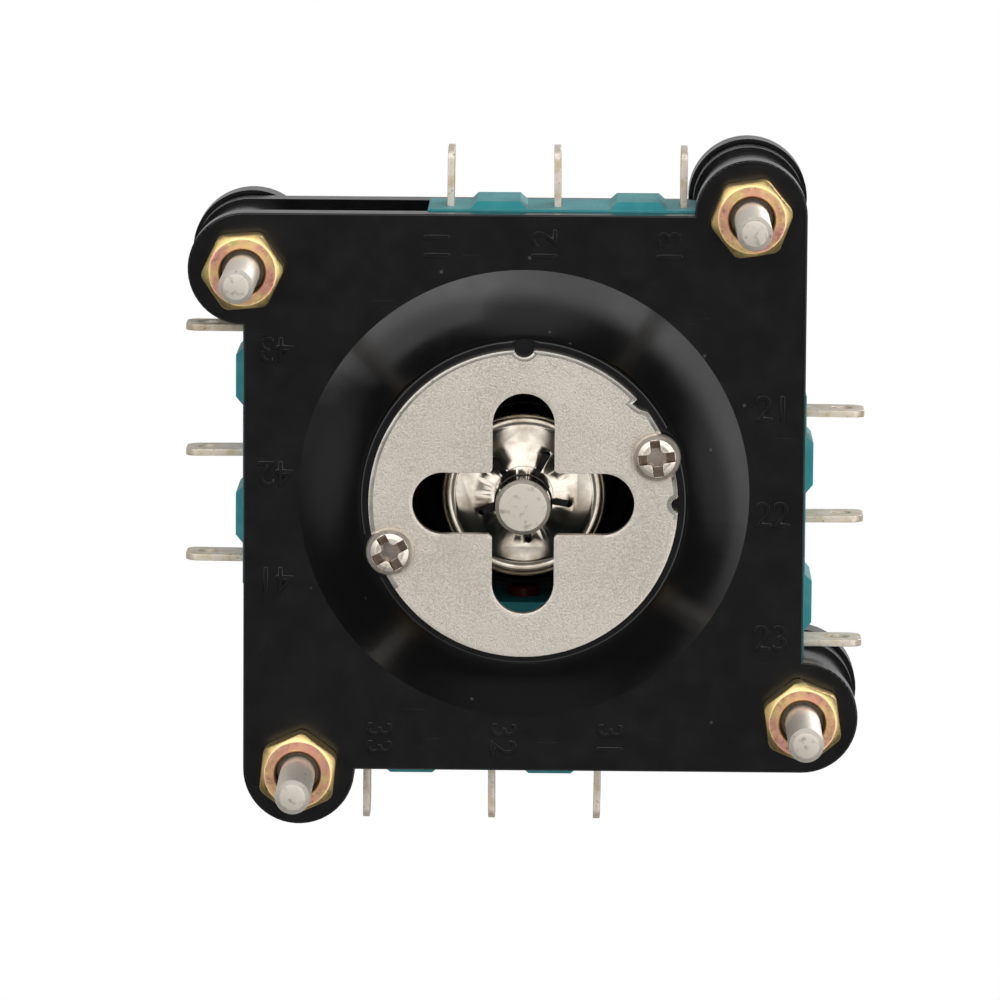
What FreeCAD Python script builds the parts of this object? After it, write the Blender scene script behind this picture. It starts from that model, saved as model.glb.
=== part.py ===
import FreeCAD, Part
import math
import os

# Four-way joystick switch with a cross gate, for mounting in a panel. Millimetres.
# Z points up, towards the knob. Z = 0 is the plane of the four screw ends.
# X = Y = 0 is the lever's axis at rest.
# Switch 1 lies on the -Y side, and the other three follow it round the lever in quarter turns.

# Moulded plates, which share one pinwheel outline: a square with a round ear at each corner screw
PLATE_HALF = 26.5
EAR_R = 5.3
SCREW_ACROSS = 26.5
SCREW_ROOM = 0.7
BASE_T = 3.0
UPPER_T = 3.2
PLATE_EDGE_R = 0.15
CORNER_POST_R = 4.8

# Stack along the lever, from the screw ends up
SCREW_FREE = 12.3
NUT_H = 3.2
PANEL_GAP = 1.2
FLANGE_T = 4.7

# Collar moulded on the base plate, with the gate disc seated on its rim
COLLAR_RIM = 0.9
COLLAR_SPREAD = 5.9
COLLAR_CONE_H = 3.9
COLLAR_SEAT_H = 5.5
COLLAR_FLANK_SAG = 0.3
WELL_LEDGE = 2.0
WELL_MOUTH_T = 1.6
PIP_R = 0.75
PIP_DROP = 0.6

# Gate disc, with a cross slot that lets the lever move only four ways
GATE_R = 14.5
GATE_T = 1.0
GATE_SLOT_SPAN = 20.8
GATE_SLOT_W = 5.8
GATE_CORNER_R = 0.45
GATE_NOTCH_R = 1.0
GATE_NOTCH_DEPTH = 0.7
GATE_SIDE_NOTCH_R = 0.65
GATE_STEP_ANGLE = -43.2
GATE_STEP_DEPTH = 0.65
GATE_STEP_W = 1.7

# Gate screws
GATE_SCREW_IN = 1.25
GATE_SCREW_ANGLES = (-20.0, 160.0)
GATE_SCREW_R = 1.25
GATE_SCREW_L = 4.6
GATE_HEAD_R = 2.25
GATE_HEAD_H = 1.5
GATE_BOSS_R = 2.4
GATE_BOSS_L = 3.6

# Microswitch, a common size with its plunger off centre
SWITCH_L = 27.8
SWITCH_W = 15.9
SWITCH_T = 10.3
SWITCH_NEAR_END = 9.3
SWITCH_COVER_T = 2.4
SWITCH_EDGE = 0.15
SWITCH_HOLE_R = 1.55
SWITCH_HOLE_END = 2.8
SWITCH_HOLE_IN = 2.8
SWITCH_PIN_L = 7.0
BARRIER_SHARES = (0.1439, 0.6187)
BARRIER_L = 5.4
BARRIER_PROUD = 0.7
BARRIER_BEVEL = 0.7
PLUNGER_R = 1.4
PLUNGER_PROUD = 1.0
PLUNGER_TRAVEL = 0.8
PLUNGER_L = 4.2
PLUNGER_ROUND = 0.5

# Blade terminals, placed along the switch by shares of its length
TERMINAL_SHARES = (0.0755, 0.4424, 0.8705)
TERMINAL_W = 4.75
TERMINAL_T = 0.65
TERMINAL_PROUD = 5.6
TERMINAL_IN = 3.6
TERMINAL_HOLE_R = 1.0
TERMINAL_HOLE_IN = 2.1
TERMINAL_TIP_BEVEL = 0.9

# Corner screws, washers and nuts
SCREW_R = 2.0
SCREW_PILOT_R = 1.65
SCREW_TIP_BEVEL = 0.5
SCREW_HEAD_R = 3.6
SCREW_HEAD_H = 2.6
NUT_AF = 6.9
NUT_CORNER_R = 3.85
NUT_FACE_R = 3.15
NUT_BORE_BEVEL = 0.25
NUT_TURNS = (51.0, 52.0, 36.0, 25.5)
WASHER_R = 4.4
WASHER_T = 0.8

# Lever, one turned rod with a round tip
LEVER_TIP_OUT = 9.1
LEVER_TIP_R = 2.6
LEVER_TIP_L = 3.4
LEVER_TIP_BEVEL = 0.3
LEVER_FOOT_R = 2.75
LEVER_SHAFT_R = 3.0
LEVER_THREAD_R = 2.5
PIVOT_IN = 36.0
PIVOT_BALL_R = 7.0
BALL_NECK_R = 4.4
BALL_NECK_H = 9.0
KNOB_R = 15.0
KNOB_ABOVE_PIVOT = 50.0
KNOB_FLAT_R = 5.0
KNOB_THREAD_L = 12.0

# Push-on star washer that holds the actuator up on the lever
STAR_R = 7.7
STAR_T = 0.55
STAR_TROUGH = 0.8
STAR_PRONG_UP = 0.9
STAR_SLITS = 5
STAR_SLIT_W = 0.55
STAR_SLIT_R = 4.4
STAR_FIRST_SLIT = -60.0

# Actuator sleeve, and the room left before it touches a plunger at full tilt
ACTUATOR_R = 4.4
ACTUATOR_L = 10.0
PLUNGER_ROOM = 0.35

# Conical centring spring
SPRING_WIRE_R = 0.45
SPRING_LOW_R = 3.75
SPRING_TOP_R = 7.4
SPRING_TURNS = 5.5

# Ball seat, its retainer and the turret on the mounting flange that houses them
SEAT_R = 9.2
SEAT_BELOW = 4.2
SEAT_ABOVE = 3.9
RETAINER_T = 1.4
RETAINER_BORE_R = 6.2
TURRET_WALL = 1.6
TURRET_TAPER = 0.8
TURRET_LIP_T = 1.6
UPPER_BORE_R = 10.6

# Mounting flange and gasket
FLANGE_HALF = 24.0
FLANGE_EAR_R = 5.7
FLANGE_EDGE_R = 0.8
GASKET_R = 22.5
GASKET_BORE_R = 14.0

# Bellows boot and the ring that holds its foot
BOOT_FOOT_R = 20.6
BOOT_FOOT_H = 1.5
BOOT_CREST_IN = 0.6
BOOT_CREST_TOP_R = 10.8
BOOT_FOLD_DEPTH = 2.4
BOOT_FOLDS = 6
BOOT_RISE = 11.12
BOOT_WALL = 0.9
BOOT_COLLAR_R = 5.2
BOOT_COLLAR_H = 4.5
BOOT_RING_WALL = 1.5
BOOT_RING_H = 2.6
BOOT_RING_LIP = 1.6

# Clearances: a turning or sliding fit, the ball in its seat, pieces that only pass, soft pieces
FIT_GAP = 0.08
BALL_GAP = 0.3
PASS_GAP = 0.15
SOFT_GAP = 0.3
SWEEP_GAP = 0.35
GATE_END_GAP = 0.55

# Levels along Z, from the values above
Z_BASE = SCREW_FREE + NUT_H
Z_BAY = Z_BASE + BASE_T
Z_UPPER = Z_BAY + SWITCH_T
Z_PANEL = Z_UPPER + UPPER_T
Z_FLANGE = Z_PANEL + PANEL_GAP
Z_FLANGE_TOP = Z_FLANGE + FLANGE_T
Z_SEAT = Z_BASE - COLLAR_SEAT_H
Z_GATE = Z_SEAT - GATE_T
Z_TIP = Z_BASE - LEVER_TIP_OUT
Z_PIVOT = Z_BASE + PIVOT_IN
Z_RING_SEAT = Z_PIVOT - SEAT_BELOW
Z_RETAINER = Z_RING_SEAT - RETAINER_T
Z_SEAT_TOP = Z_PIVOT + SEAT_ABOVE
Z_TURRET_TOP = Z_SEAT_TOP + FIT_GAP + TURRET_LIP_T
Z_BOOT = Z_FLANGE_TOP
Z_BOOT_FOLDS = Z_BOOT + BOOT_FOOT_H
Z_BOOT_COLLAR = Z_TURRET_TOP + BOOT_RISE
BOOT_FOLD_H = (Z_BOOT_COLLAR - Z_BOOT_FOLDS) / BOOT_FOLDS
Z_KNOB = Z_PIVOT + KNOB_ABOVE_PIVOT
Z_SWITCH_MID = Z_BAY + SWITCH_T / 2

# Places along a switch, from the lever's axis towards its far end, with the corner screw past that end
SWITCH_FAR_END = SWITCH_L - SWITCH_NEAR_END
SWITCH_HOLES_AT = (SWITCH_HOLE_END - SWITCH_NEAR_END, SWITCH_FAR_END - SWITCH_HOLE_END)
BARRIERS_AT = tuple(share * SWITCH_L - SWITCH_NEAR_END for share in BARRIER_SHARES)
TERMINALS_AT = tuple(share * SWITCH_L - SWITCH_NEAR_END for share in TERMINAL_SHARES)
SCREW_ALONG = SWITCH_FAR_END + SCREW_ROOM + SCREW_R

# Radii that follow the boot's foot
BOOT_CREST_LOW_R = BOOT_FOOT_R - BOOT_CREST_IN
BOOT_RING_BORE_R = BOOT_FOOT_R + SOFT_GAP
BOOT_RING_R = BOOT_RING_BORE_R + BOOT_RING_WALL

# Radii that follow the gate disc
COLLAR_NECK_R = GATE_R + COLLAR_RIM
COLLAR_FOOT_R = COLLAR_NECK_R + COLLAR_SPREAD
WELL_MOUTH_R = GATE_R - WELL_LEDGE
GATE_SCREW_AT_R = GATE_R - GATE_SCREW_IN
PIP_AT_R = GATE_R + GATE_NOTCH_R - GATE_NOTCH_DEPTH

# The lever's sweep: its tip stops in the slot's round end, and all that stands round the lever clears it.
# The switches stand off from the sleeve by what it swings at full tilt.
SLOT_ROOM = GATE_SLOT_SPAN / 2 - LEVER_TIP_R - GATE_END_GAP
TILT = math.atan(SLOT_ROOM / (Z_PIVOT - Z_GATE))
STAR_RISE = STAR_R * math.sin(TILT) + Z_PIVOT * (1 - math.cos(TILT))
Z_STAR_BACK = (Z_BAY - SWEEP_GAP - STAR_RISE) / math.cos(TILT)
Z_STAR_RIM = Z_STAR_BACK - STAR_T - STAR_TROUGH
Z_ACTUATOR_TOP = Z_STAR_BACK + ACTUATOR_L
PLUNGER_LOW_DEPTH = Z_PIVOT - Z_SWITCH_MID + PLUNGER_R
PLUNGER_TIP = ACTUATOR_R / math.cos(TILT) + PLUNGER_LOW_DEPTH * math.tan(TILT) + PLUNGER_ROOM
SWITCH_INNER = PLUNGER_TIP + PLUNGER_PROUD
SWITCH_OUTER = SWITCH_INNER + SWITCH_W
STAR_REACH = (Z_PIVOT - Z_STAR_RIM) * math.sin(TILT) + STAR_R * math.cos(TILT)
WELL_R = STAR_REACH + SWEEP_GAP
SCREW_HOLE_R = SCREW_R + PASS_GAP
BORE_R = SEAT_R + FIT_GAP
TURRET_MOUTH_R = math.sqrt((PIVOT_BALL_R + BALL_GAP) ** 2 - SEAT_ABOVE ** 2)


def vec(x, y, z):
    return FreeCAD.Vector(x, y, z)


def box(x0, x1, y0, y1, z0, z1):
    """A block between two corners."""
    return Part.makeBox(x1 - x0, y1 - y0, z1 - z0, vec(x0, y0, z0))


def post(r, x, y, z0, z1):
    """An upright cylinder."""
    return Part.makeCylinder(r, z1 - z0, vec(x, y, z0))


def ring(r_out, r_in, z0, z1):
    """An upright ring on the lever's axis."""
    return post(r_out, 0, 0, z0, z1).cut(post(r_in, 0, 0, z0, z1))


def turned(points):
    """A closed outline of (radius, height) points, turned round the Z axis."""
    corners = [vec(r, 0, z) for r, z in points]
    outline = Part.makePolygon(corners + corners[:1])
    return Part.Face(outline).revolve(vec(0, 0, 0), vec(0, 0, 1), 360)


def turned_wire(edges):
    """A closed outline of edges in the XZ plane, turned round the Z axis."""
    return Part.Face(Part.Wire(edges)).revolve(vec(0, 0, 0), vec(0, 0, 1), 360)


def rotated(shape, degrees):
    """A copy turned about the lever's axis."""
    copy = shape.copy()
    copy.rotate(vec(0, 0, 0), vec(0, 0, 1), degrees)
    return copy


def polar(radius, degrees):
    angle = math.radians(degrees)
    return radius * math.cos(angle), radius * math.sin(angle)


def corner_places():
    """Centres of the four corner screws, the first one beside switch 1."""
    first = math.degrees(math.atan2(-SCREW_ACROSS, SCREW_ALONG))
    radius = math.hypot(SCREW_ACROSS, SCREW_ALONG)
    return [polar(radius, first + 90 * i) for i in range(4)]


def flat_edges(shape, level):
    """Edges that lie in the plane Z = level."""
    near = 1e-5
    boxes = [(e, e.BoundBox) for e in shape.Edges]
    return [e for e, b in boxes if abs(b.ZMin - level) < near and abs(b.ZMax - level) < near]


def pinwheel(half, ear_r, z0, z1):
    """The plates' outline: a square and four ears, one on each corner screw."""
    ears = [post(ear_r, x, y, z0, z1) for x, y in corner_places()]
    return box(-half, half, -half, half, z0, z1).multiFuse(ears).removeSplitter()


def corner_posts(radius, z0, z1):
    return [post(radius, x, y, z0, z1) for x, y in corner_places()]


def switch_block(gap, z0, z1):
    """Room of switch 1, grown by a gap."""
    x0 = -SWITCH_NEAR_END - gap
    x1 = SWITCH_FAR_END + gap
    return box(x0, x1, -SWITCH_OUTER - gap, -SWITCH_INNER + gap, z0, z1)


def collar():
    """The raised ring on the base plate: a slightly hollow cone, then an upright neck up to the seat."""
    foot = vec(COLLAR_FOOT_R, 0, Z_BASE)
    neck = vec(COLLAR_NECK_R, 0, Z_BASE - COLLAR_CONE_H)
    middle = (foot + neck) / 2 + vec(-COLLAR_FLANK_SAG, 0, COLLAR_FLANK_SAG)
    root_z = Z_BASE + BASE_T / 2
    corners = [
        neck,
        vec(COLLAR_NECK_R, 0, Z_SEAT),
        vec(WELL_MOUTH_R, 0, Z_SEAT),
        vec(WELL_MOUTH_R, 0, root_z),
        vec(COLLAR_FOOT_R, 0, root_z),
        foot,
    ]
    sides = [Part.makeLine(a, b) for a, b in zip(corners, corners[1:])]
    return turned_wire([Part.Arc(foot, middle, neck).toShape()] + sides)


def well():
    """The opening under the gate disc, wide enough for the star washer's sweep."""
    low = Z_SEAT + WELL_MOUTH_T
    wide = Z_STAR_RIM - STAR_T
    return turned([
        (0, Z_SEAT), (WELL_MOUTH_R, Z_SEAT), (WELL_MOUTH_R, low),
        (WELL_R, wide), (WELL_R, Z_BAY), (0, Z_BAY),
    ])


def make_base_plate():
    """Lower plate with its collar, the well for the star washer and the bosses for the gate screws."""
    plate = pinwheel(PLATE_HALF, EAR_R, Z_BASE, Z_BAY)
    plate = plate.makeFillet(PLATE_EDGE_R, flat_edges(plate, Z_BASE))
    body = plate.fuse(collar()).cut(well())
    for degrees in GATE_SCREW_ANGLES:
        x, y = polar(GATE_SCREW_AT_R, degrees)
        body = body.fuse(post(GATE_BOSS_R, x, y, Z_SEAT, Z_SEAT + GATE_BOSS_L))
        body = body.cut(post(GATE_SCREW_R, x, y, Z_SEAT, Z_SEAT + GATE_SCREW_L))
    body = body.fuse(post(PIP_R, 0, -PIP_AT_R, Z_SEAT - PIP_DROP, Z_SEAT + PIP_DROP))
    return body.cut(corner_posts(SCREW_HOLE_R, Z_BASE, Z_BAY)).removeSplitter()


def slot(length, width, z0, z1):
    """A straight slot with round ends, along X."""
    r = width / 2
    end = length / 2 - r
    ends = [post(r, x, 0, z0, z1) for x in (-end, end)]
    return box(-end, end, -r, r, z0, z1).multiFuse(ends).removeSplitter()


def gate_step(z0, z1):
    """Notch in the disc's rim beside X, with a steep end and a sloping one."""
    deep = GATE_R - GATE_STEP_DEPTH
    out = GATE_R + 1
    middle = (deep + GATE_STEP_DEPTH / 4, GATE_STEP_W / 2)
    points = [(out, 0), (deep, 0), middle, (GATE_R, GATE_STEP_W), (out, GATE_STEP_W)]
    corners = [vec(x, y, z0) for x, y in points]
    return Part.Face(Part.makePolygon(corners + corners[:1])).extrude(vec(0, 0, z1 - z0))


def make_gate_plate():
    """Steel disc with the cross slot, two screw holes and three notches in its rim."""
    low, top = Z_GATE, Z_SEAT
    one = slot(GATE_SLOT_SPAN, GATE_SLOT_W, low, top)
    cross = one.fuse(rotated(one, 90)).removeSplitter()
    half = GATE_SLOT_W / 2
    inner = [
        e for e in cross.Edges
        if abs(e.BoundBox.ZLength - GATE_T) < 1e-5
        and abs(abs(e.CenterOfMass.x) - half) < 1e-3
        and abs(abs(e.CenterOfMass.y) - half) < 1e-3
    ]
    cross = cross.makeFillet(GATE_CORNER_R, inner)
    disc = post(GATE_R, 0, 0, low, top).cut(cross)
    places = [polar(GATE_SCREW_AT_R, degrees) for degrees in GATE_SCREW_ANGLES]
    holes = [post(GATE_SCREW_R + PASS_GAP, x, y, low, top) for x, y in places]
    holes.append(post(GATE_NOTCH_R, 0, -PIP_AT_R, low, top))
    holes.append(post(GATE_SIDE_NOTCH_R, GATE_R, 0, low, top))
    holes.append(rotated(gate_step(low, top), GATE_STEP_ANGLE))
    return disc.cut(holes).removeSplitter()


def make_gate_screw(degrees):
    """Pan-head screw through the gate disc into its boss."""
    head = post(GATE_HEAD_R, 0, 0, Z_GATE - GATE_HEAD_H, Z_GATE)
    head = head.makeFillet(GATE_HEAD_H * 0.6, flat_edges(head, Z_GATE - GATE_HEAD_H))
    screw = head.fuse(post(GATE_SCREW_R, 0, 0, Z_GATE, Z_GATE + GATE_SCREW_L))
    x, y = polar(GATE_SCREW_AT_R, degrees)
    screw.translate(vec(x, y, 0))
    return screw.removeSplitter()


def switch_pins():
    """Round pins under the upper plate that locate the four switches."""
    y = -(SWITCH_INNER + SWITCH_HOLE_IN)
    pins = []
    for x in SWITCH_HOLES_AT:
        pin = post(SWITCH_HOLE_R - PASS_GAP, x, y, Z_UPPER - SWITCH_PIN_L, Z_UPPER)
        pins += [rotated(pin, 90 * i) for i in range(4)]
    return pins


def make_upper_plate():
    """Upper plate with the corner posts that space it from the base plate, and the switches' pins."""
    plate = pinwheel(PLATE_HALF, EAR_R, Z_UPPER, Z_PANEL)
    pocket = switch_block(PASS_GAP, Z_BAY, Z_UPPER)
    pockets = [rotated(pocket, 90 * i) for i in range(4)]
    posts = [p.cut(pockets) for p in corner_posts(CORNER_POST_R, Z_BAY, Z_UPPER)]
    body = plate.multiFuse(posts + switch_pins())
    body = body.cut(post(UPPER_BORE_R, 0, 0, Z_UPPER, Z_PANEL))
    return body.cut(corner_posts(SCREW_HOLE_R, Z_BAY, Z_PANEL)).removeSplitter()


def barrier(start):
    """A bevelled lump on the switch's outer face that keeps two terminals apart."""
    b = BARRIER_BEVEL
    lump = Part.makeWedge(
        0, 0, 0, b, b,
        BARRIER_L, BARRIER_PROUD, SWITCH_T, SWITCH_T - b, BARRIER_L - b,
    )
    lump.rotate(vec(0, 0, 0), vec(0, 0, 1), 180)
    lump.translate(vec(start + BARRIER_L, -SWITCH_OUTER, Z_BAY))
    return lump


def switch_body():
    """Switch 1 as one block, before its cover is parted from its case."""
    block = switch_block(0, Z_BAY, Z_UPPER)
    upright = [e for e in block.Edges if abs(e.BoundBox.ZLength - SWITCH_T) < 1e-5]
    block = block.makeChamfer(SWITCH_EDGE, upright)
    block = block.multiFuse([barrier(x) for x in BARRIERS_AT])
    y = -(SWITCH_INNER + SWITCH_HOLE_IN)
    holes = [post(SWITCH_HOLE_R, x, y, Z_BAY, Z_UPPER) for x in SWITCH_HOLES_AT]
    depth = PLUNGER_L - PLUNGER_PROUD + PLUNGER_TRAVEL + PASS_GAP
    bore = Part.makeCylinder(PLUNGER_R + FIT_GAP, depth, vec(0, -SWITCH_INNER, Z_SWITCH_MID), vec(0, -1, 0))
    return block.cut(holes + [bore] + [make_terminal(x) for x in TERMINALS_AT])


def make_terminal(x):
    """Blade terminal of switch 1, with a wire hole and a bevelled tip."""
    root = -SWITCH_OUTER + TERMINAL_IN
    tip = -SWITCH_OUTER - TERMINAL_PROUD
    b = TERMINAL_TIP_BEVEL
    low = Z_SWITCH_MID - TERMINAL_W / 2
    top = Z_SWITCH_MID + TERMINAL_W / 2
    left = x - TERMINAL_T / 2
    outline = [(root, low), (root, top), (tip + b, top), (tip, top - b), (tip, low + b), (tip + b, low)]
    corners = [vec(left, y, z) for y, z in outline]
    blade = Part.Face(Part.makePolygon(corners + corners[:1])).extrude(vec(TERMINAL_T, 0, 0))
    place = vec(left, tip + TERMINAL_HOLE_IN, Z_SWITCH_MID)
    return blade.cut(Part.makeCylinder(TERMINAL_HOLE_R, TERMINAL_T, place, vec(1, 0, 0)))


def make_switch_case():
    room = switch_block(BARRIER_PROUD + 1, Z_BAY + SWITCH_COVER_T, Z_UPPER)
    return switch_body().common(room).removeSplitter()


def make_switch_cover():
    room = switch_block(BARRIER_PROUD + 1, Z_BAY, Z_BAY + SWITCH_COVER_T)
    return switch_body().common(room).removeSplitter()


def make_plunger():
    """Button of switch 1, which faces the lever."""
    button = Part.makeCylinder(PLUNGER_R, PLUNGER_L, vec(0, -PLUNGER_TIP, Z_SWITCH_MID), vec(0, -1, 0))
    tip = [e for e in button.Edges if abs(e.CenterOfMass.y + PLUNGER_TIP) < 1e-5]
    return button.makeFillet(PLUNGER_ROUND, tip)


def make_corner_screw(x, y):
    """Long screw from the flange down through both plates, with a thinner smooth end below its nut."""
    under_head = Z_FLANGE_TOP + WASHER_T
    head_top = under_head + SCREW_HEAD_H
    head = post(SCREW_HEAD_R, 0, 0, under_head, head_top)
    head = head.makeFillet(SCREW_HEAD_H * 0.6, flat_edges(head, head_top))
    b = SCREW_TIP_BEVEL
    rod = turned([
        (0, 0), (SCREW_PILOT_R - b, 0), (SCREW_PILOT_R, b * 1.4), (SCREW_PILOT_R, SCREW_FREE),
        (SCREW_R, SCREW_FREE + SCREW_R - SCREW_PILOT_R), (SCREW_R, under_head), (0, under_head),
    ])
    screw = head.fuse(rod).removeSplitter()
    screw.translate(vec(x, y, 0))
    return screw


def make_washer(x, y):
    disc = post(WASHER_R, x, y, Z_FLANGE_TOP, Z_FLANGE_TOP + WASHER_T)
    return disc.cut(post(SCREW_HOLE_R, x, y, Z_FLANGE_TOP, Z_FLANGE_TOP + WASHER_T))


def make_nut(x, y, turn):
    """Hexagon nut with a flat ring and bevels on both faces, worn corners and a bevelled bore."""
    corner = NUT_AF / math.sqrt(3)
    points = [vec(*polar(corner, 60 * i), SCREW_FREE) for i in range(6)]
    prism = Part.Face(Part.makePolygon(points + points[:1])).extrude(vec(0, 0, NUT_H))
    drop = (NUT_CORNER_R - NUT_FACE_R) * 0.6
    low, top = SCREW_FREE, SCREW_FREE + NUT_H
    bevels = turned([
        (0, low), (NUT_FACE_R, low), (NUT_CORNER_R, low + drop), (NUT_CORNER_R, top - drop),
        (NUT_FACE_R, top), (0, top),
    ])
    b = NUT_BORE_BEVEL
    bore = turned([
        (0, low), (SCREW_R + b, low), (SCREW_R, low + b), (SCREW_R, top - b), (SCREW_R + b, top), (0, top),
    ])
    nut = rotated(prism.common(bevels).cut(bore), turn)
    nut.translate(vec(x, y, 0))
    return nut


def make_lever_shaft():
    """One turned rod: bevelled tip, foot, the shaft through the ball and the thread end in the knob."""
    b = LEVER_TIP_BEVEL
    step = Z_TIP + LEVER_TIP_L
    thread = Z_KNOB - KNOB_R + knob_flat_rise()
    top = thread + KNOB_THREAD_L
    return turned([
        (0, Z_TIP), (LEVER_TIP_R - b, Z_TIP), (LEVER_TIP_R, Z_TIP + b), (LEVER_TIP_R, step),
        (LEVER_FOOT_R, step + LEVER_FOOT_R - LEVER_TIP_R), (LEVER_FOOT_R, Z_PIVOT),
        (LEVER_SHAFT_R, Z_PIVOT), (LEVER_SHAFT_R, thread), (LEVER_THREAD_R, thread),
        (LEVER_THREAD_R, top), (0, top),
    ])


def knob_flat_rise():
    """How far the knob's flat lies above the bottom of its full ball."""
    return KNOB_R - math.sqrt(KNOB_R ** 2 - KNOB_FLAT_R ** 2)


def make_knob():
    ball = Part.makeSphere(KNOB_R, vec(0, 0, Z_KNOB))
    flat = Z_KNOB - KNOB_R + knob_flat_rise()
    ball = ball.cut(box(-KNOB_R, KNOB_R, -KNOB_R, KNOB_R, Z_KNOB - KNOB_R - 1, flat))
    return ball.cut(post(LEVER_THREAD_R, 0, 0, flat, flat + KNOB_THREAD_L))


def make_pivot_ball():
    """Ball moulded on the lever, with a short neck above it that the boot's collar meets."""
    ball = Part.makeSphere(PIVOT_BALL_R, vec(0, 0, Z_PIVOT))
    body = ball.fuse(post(BALL_NECK_R, 0, 0, Z_PIVOT, Z_PIVOT + BALL_NECK_H))
    low = post(LEVER_FOOT_R, 0, 0, Z_PIVOT - PIVOT_BALL_R, Z_PIVOT)
    high = post(LEVER_SHAFT_R, 0, 0, Z_PIVOT, Z_PIVOT + BALL_NECK_H)
    return body.cut([low, high])


def star_profile(offset):
    """One face of the star washer's sheet, from the lever out to the rim, moved along Z by an offset."""
    trough = Z_STAR_RIM + STAR_TROUGH + offset
    bend_r = STAR_SLIT_R + STAR_SLIT_W
    prong = vec(LEVER_FOOT_R, 0, trough - STAR_PRONG_UP)
    bend = vec(bend_r, 0, trough)
    turn_up = vec((bend_r + STAR_R) / 2, 0, trough)
    rise = vec(STAR_R - STAR_TROUGH * 0.3, 0, trough - STAR_TROUGH * 0.3)
    rim = vec(STAR_R, 0, trough - STAR_TROUGH)
    return prong, bend, turn_up, rise, rim


def make_star_washer():
    """Thin dished washer whose prongs grip the lever, with slits between the prongs."""
    a = star_profile(0)
    b = star_profile(STAR_T)
    edges = [
        Part.makeLine(a[0], a[1]),
        Part.makeLine(a[1], a[2]),
        Part.Arc(a[2], a[3], a[4]).toShape(),
        Part.makeLine(a[4], b[4]),
        Part.Arc(b[4], b[3], b[2]).toShape(),
        Part.makeLine(b[2], b[1]),
        Part.makeLine(b[1], b[0]),
        Part.makeLine(b[0], a[0]),
    ]
    disc = turned_wire(edges)
    low = Z_STAR_RIM - STAR_T
    half = STAR_SLIT_W / 2
    one = box(0, STAR_SLIT_R, -half, half, low, Z_STAR_BACK)
    one = one.fuse(post(half, STAR_SLIT_R, 0, low, Z_STAR_BACK))
    pitch = 360 / STAR_SLITS
    return disc.cut([rotated(one, STAR_FIRST_SLIT + pitch * i) for i in range(STAR_SLITS)])


def make_actuator():
    """Sleeve that pushes the plungers, with a shoulder for the spring on top."""
    body = ring(ACTUATOR_R, LEVER_FOOT_R, Z_STAR_BACK, Z_ACTUATOR_TOP)
    edges = flat_edges(body, Z_STAR_BACK)
    return body.makeChamfer(PLATE_EDGE_R, [e for e in edges if e.BoundBox.XLength > 2 * LEVER_FOOT_R + 0.1])


def make_spring():
    """Conical wire spring from the actuator up to the retainer."""
    low = Z_ACTUATOR_TOP + SPRING_WIRE_R
    height = Z_RETAINER - SPRING_WIRE_R - low
    pitch = height / SPRING_TURNS
    angle = math.degrees(math.atan2(SPRING_TOP_R - SPRING_LOW_R, height))
    helix = Part.makeHelix(pitch, height, SPRING_LOW_R, angle)
    circle = Part.makeCircle(SPRING_WIRE_R, vec(SPRING_LOW_R, 0, 0), vec(0, 1, 0))
    wire = Part.Wire(helix.Edges).makePipeShell([Part.Wire(circle)], True, True)
    wire.translate(vec(0, 0, low))
    return wire


def make_ball_seat():
    """Bearing ring with a round socket for the ball. It turns in the turret's bore."""
    body = post(SEAT_R, 0, 0, Z_RING_SEAT, Z_SEAT_TOP)
    return body.cut(Part.makeSphere(PIVOT_BALL_R + BALL_GAP, vec(0, 0, Z_PIVOT)))


def make_seat_retainer():
    return ring(BORE_R, RETAINER_BORE_R, Z_RETAINER - FIT_GAP, Z_RING_SEAT - FIT_GAP)


def make_mounting_flange():
    """Top flange that lies on the panel, with the turret that houses the ball seat."""
    plate = pinwheel(FLANGE_HALF, FLANGE_EAR_R, Z_FLANGE, Z_FLANGE_TOP)
    plate = plate.makeFillet(FLANGE_EDGE_R, flat_edges(plate, Z_FLANGE_TOP))
    foot_r = BORE_R + TURRET_WALL + TURRET_TAPER
    turret = turned([
        (0, Z_FLANGE), (foot_r, Z_FLANGE), (foot_r, Z_FLANGE_TOP),
        (BORE_R + TURRET_WALL, Z_TURRET_TOP), (0, Z_TURRET_TOP),
    ])
    body = plate.fuse(turret)
    body = body.cut(post(BORE_R, 0, 0, Z_FLANGE, Z_SEAT_TOP + FIT_GAP))
    body = body.cut(post(TURRET_MOUTH_R, 0, 0, Z_SEAT_TOP, Z_TURRET_TOP))
    return body.cut(corner_posts(SCREW_HOLE_R, Z_FLANGE, Z_FLANGE_TOP)).removeSplitter()


def make_gasket():
    return ring(GASKET_R, GASKET_BORE_R, Z_PANEL, Z_FLANGE)


def boot_face(inward):
    """One face of the bellows from foot to collar, set inwards by a wall. Crests shrink towards the top."""
    points = []
    for i in range(BOOT_FOLDS + 1):
        share = i / BOOT_FOLDS
        crest = BOOT_CREST_LOW_R + (BOOT_CREST_TOP_R - BOOT_CREST_LOW_R) * share
        z = Z_BOOT_FOLDS + i * BOOT_FOLD_H
        points.append(vec(crest - BOOT_FOLD_DEPTH - inward, 0, z))
    edges = []
    for a, b in zip(points, points[1:]):
        crest = vec((a.x + b.x) / 2 + BOOT_FOLD_DEPTH, 0, (a.z + b.z) / 2)
        edges.append(Part.Arc(a, crest, b).toShape())
    return points, edges


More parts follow.
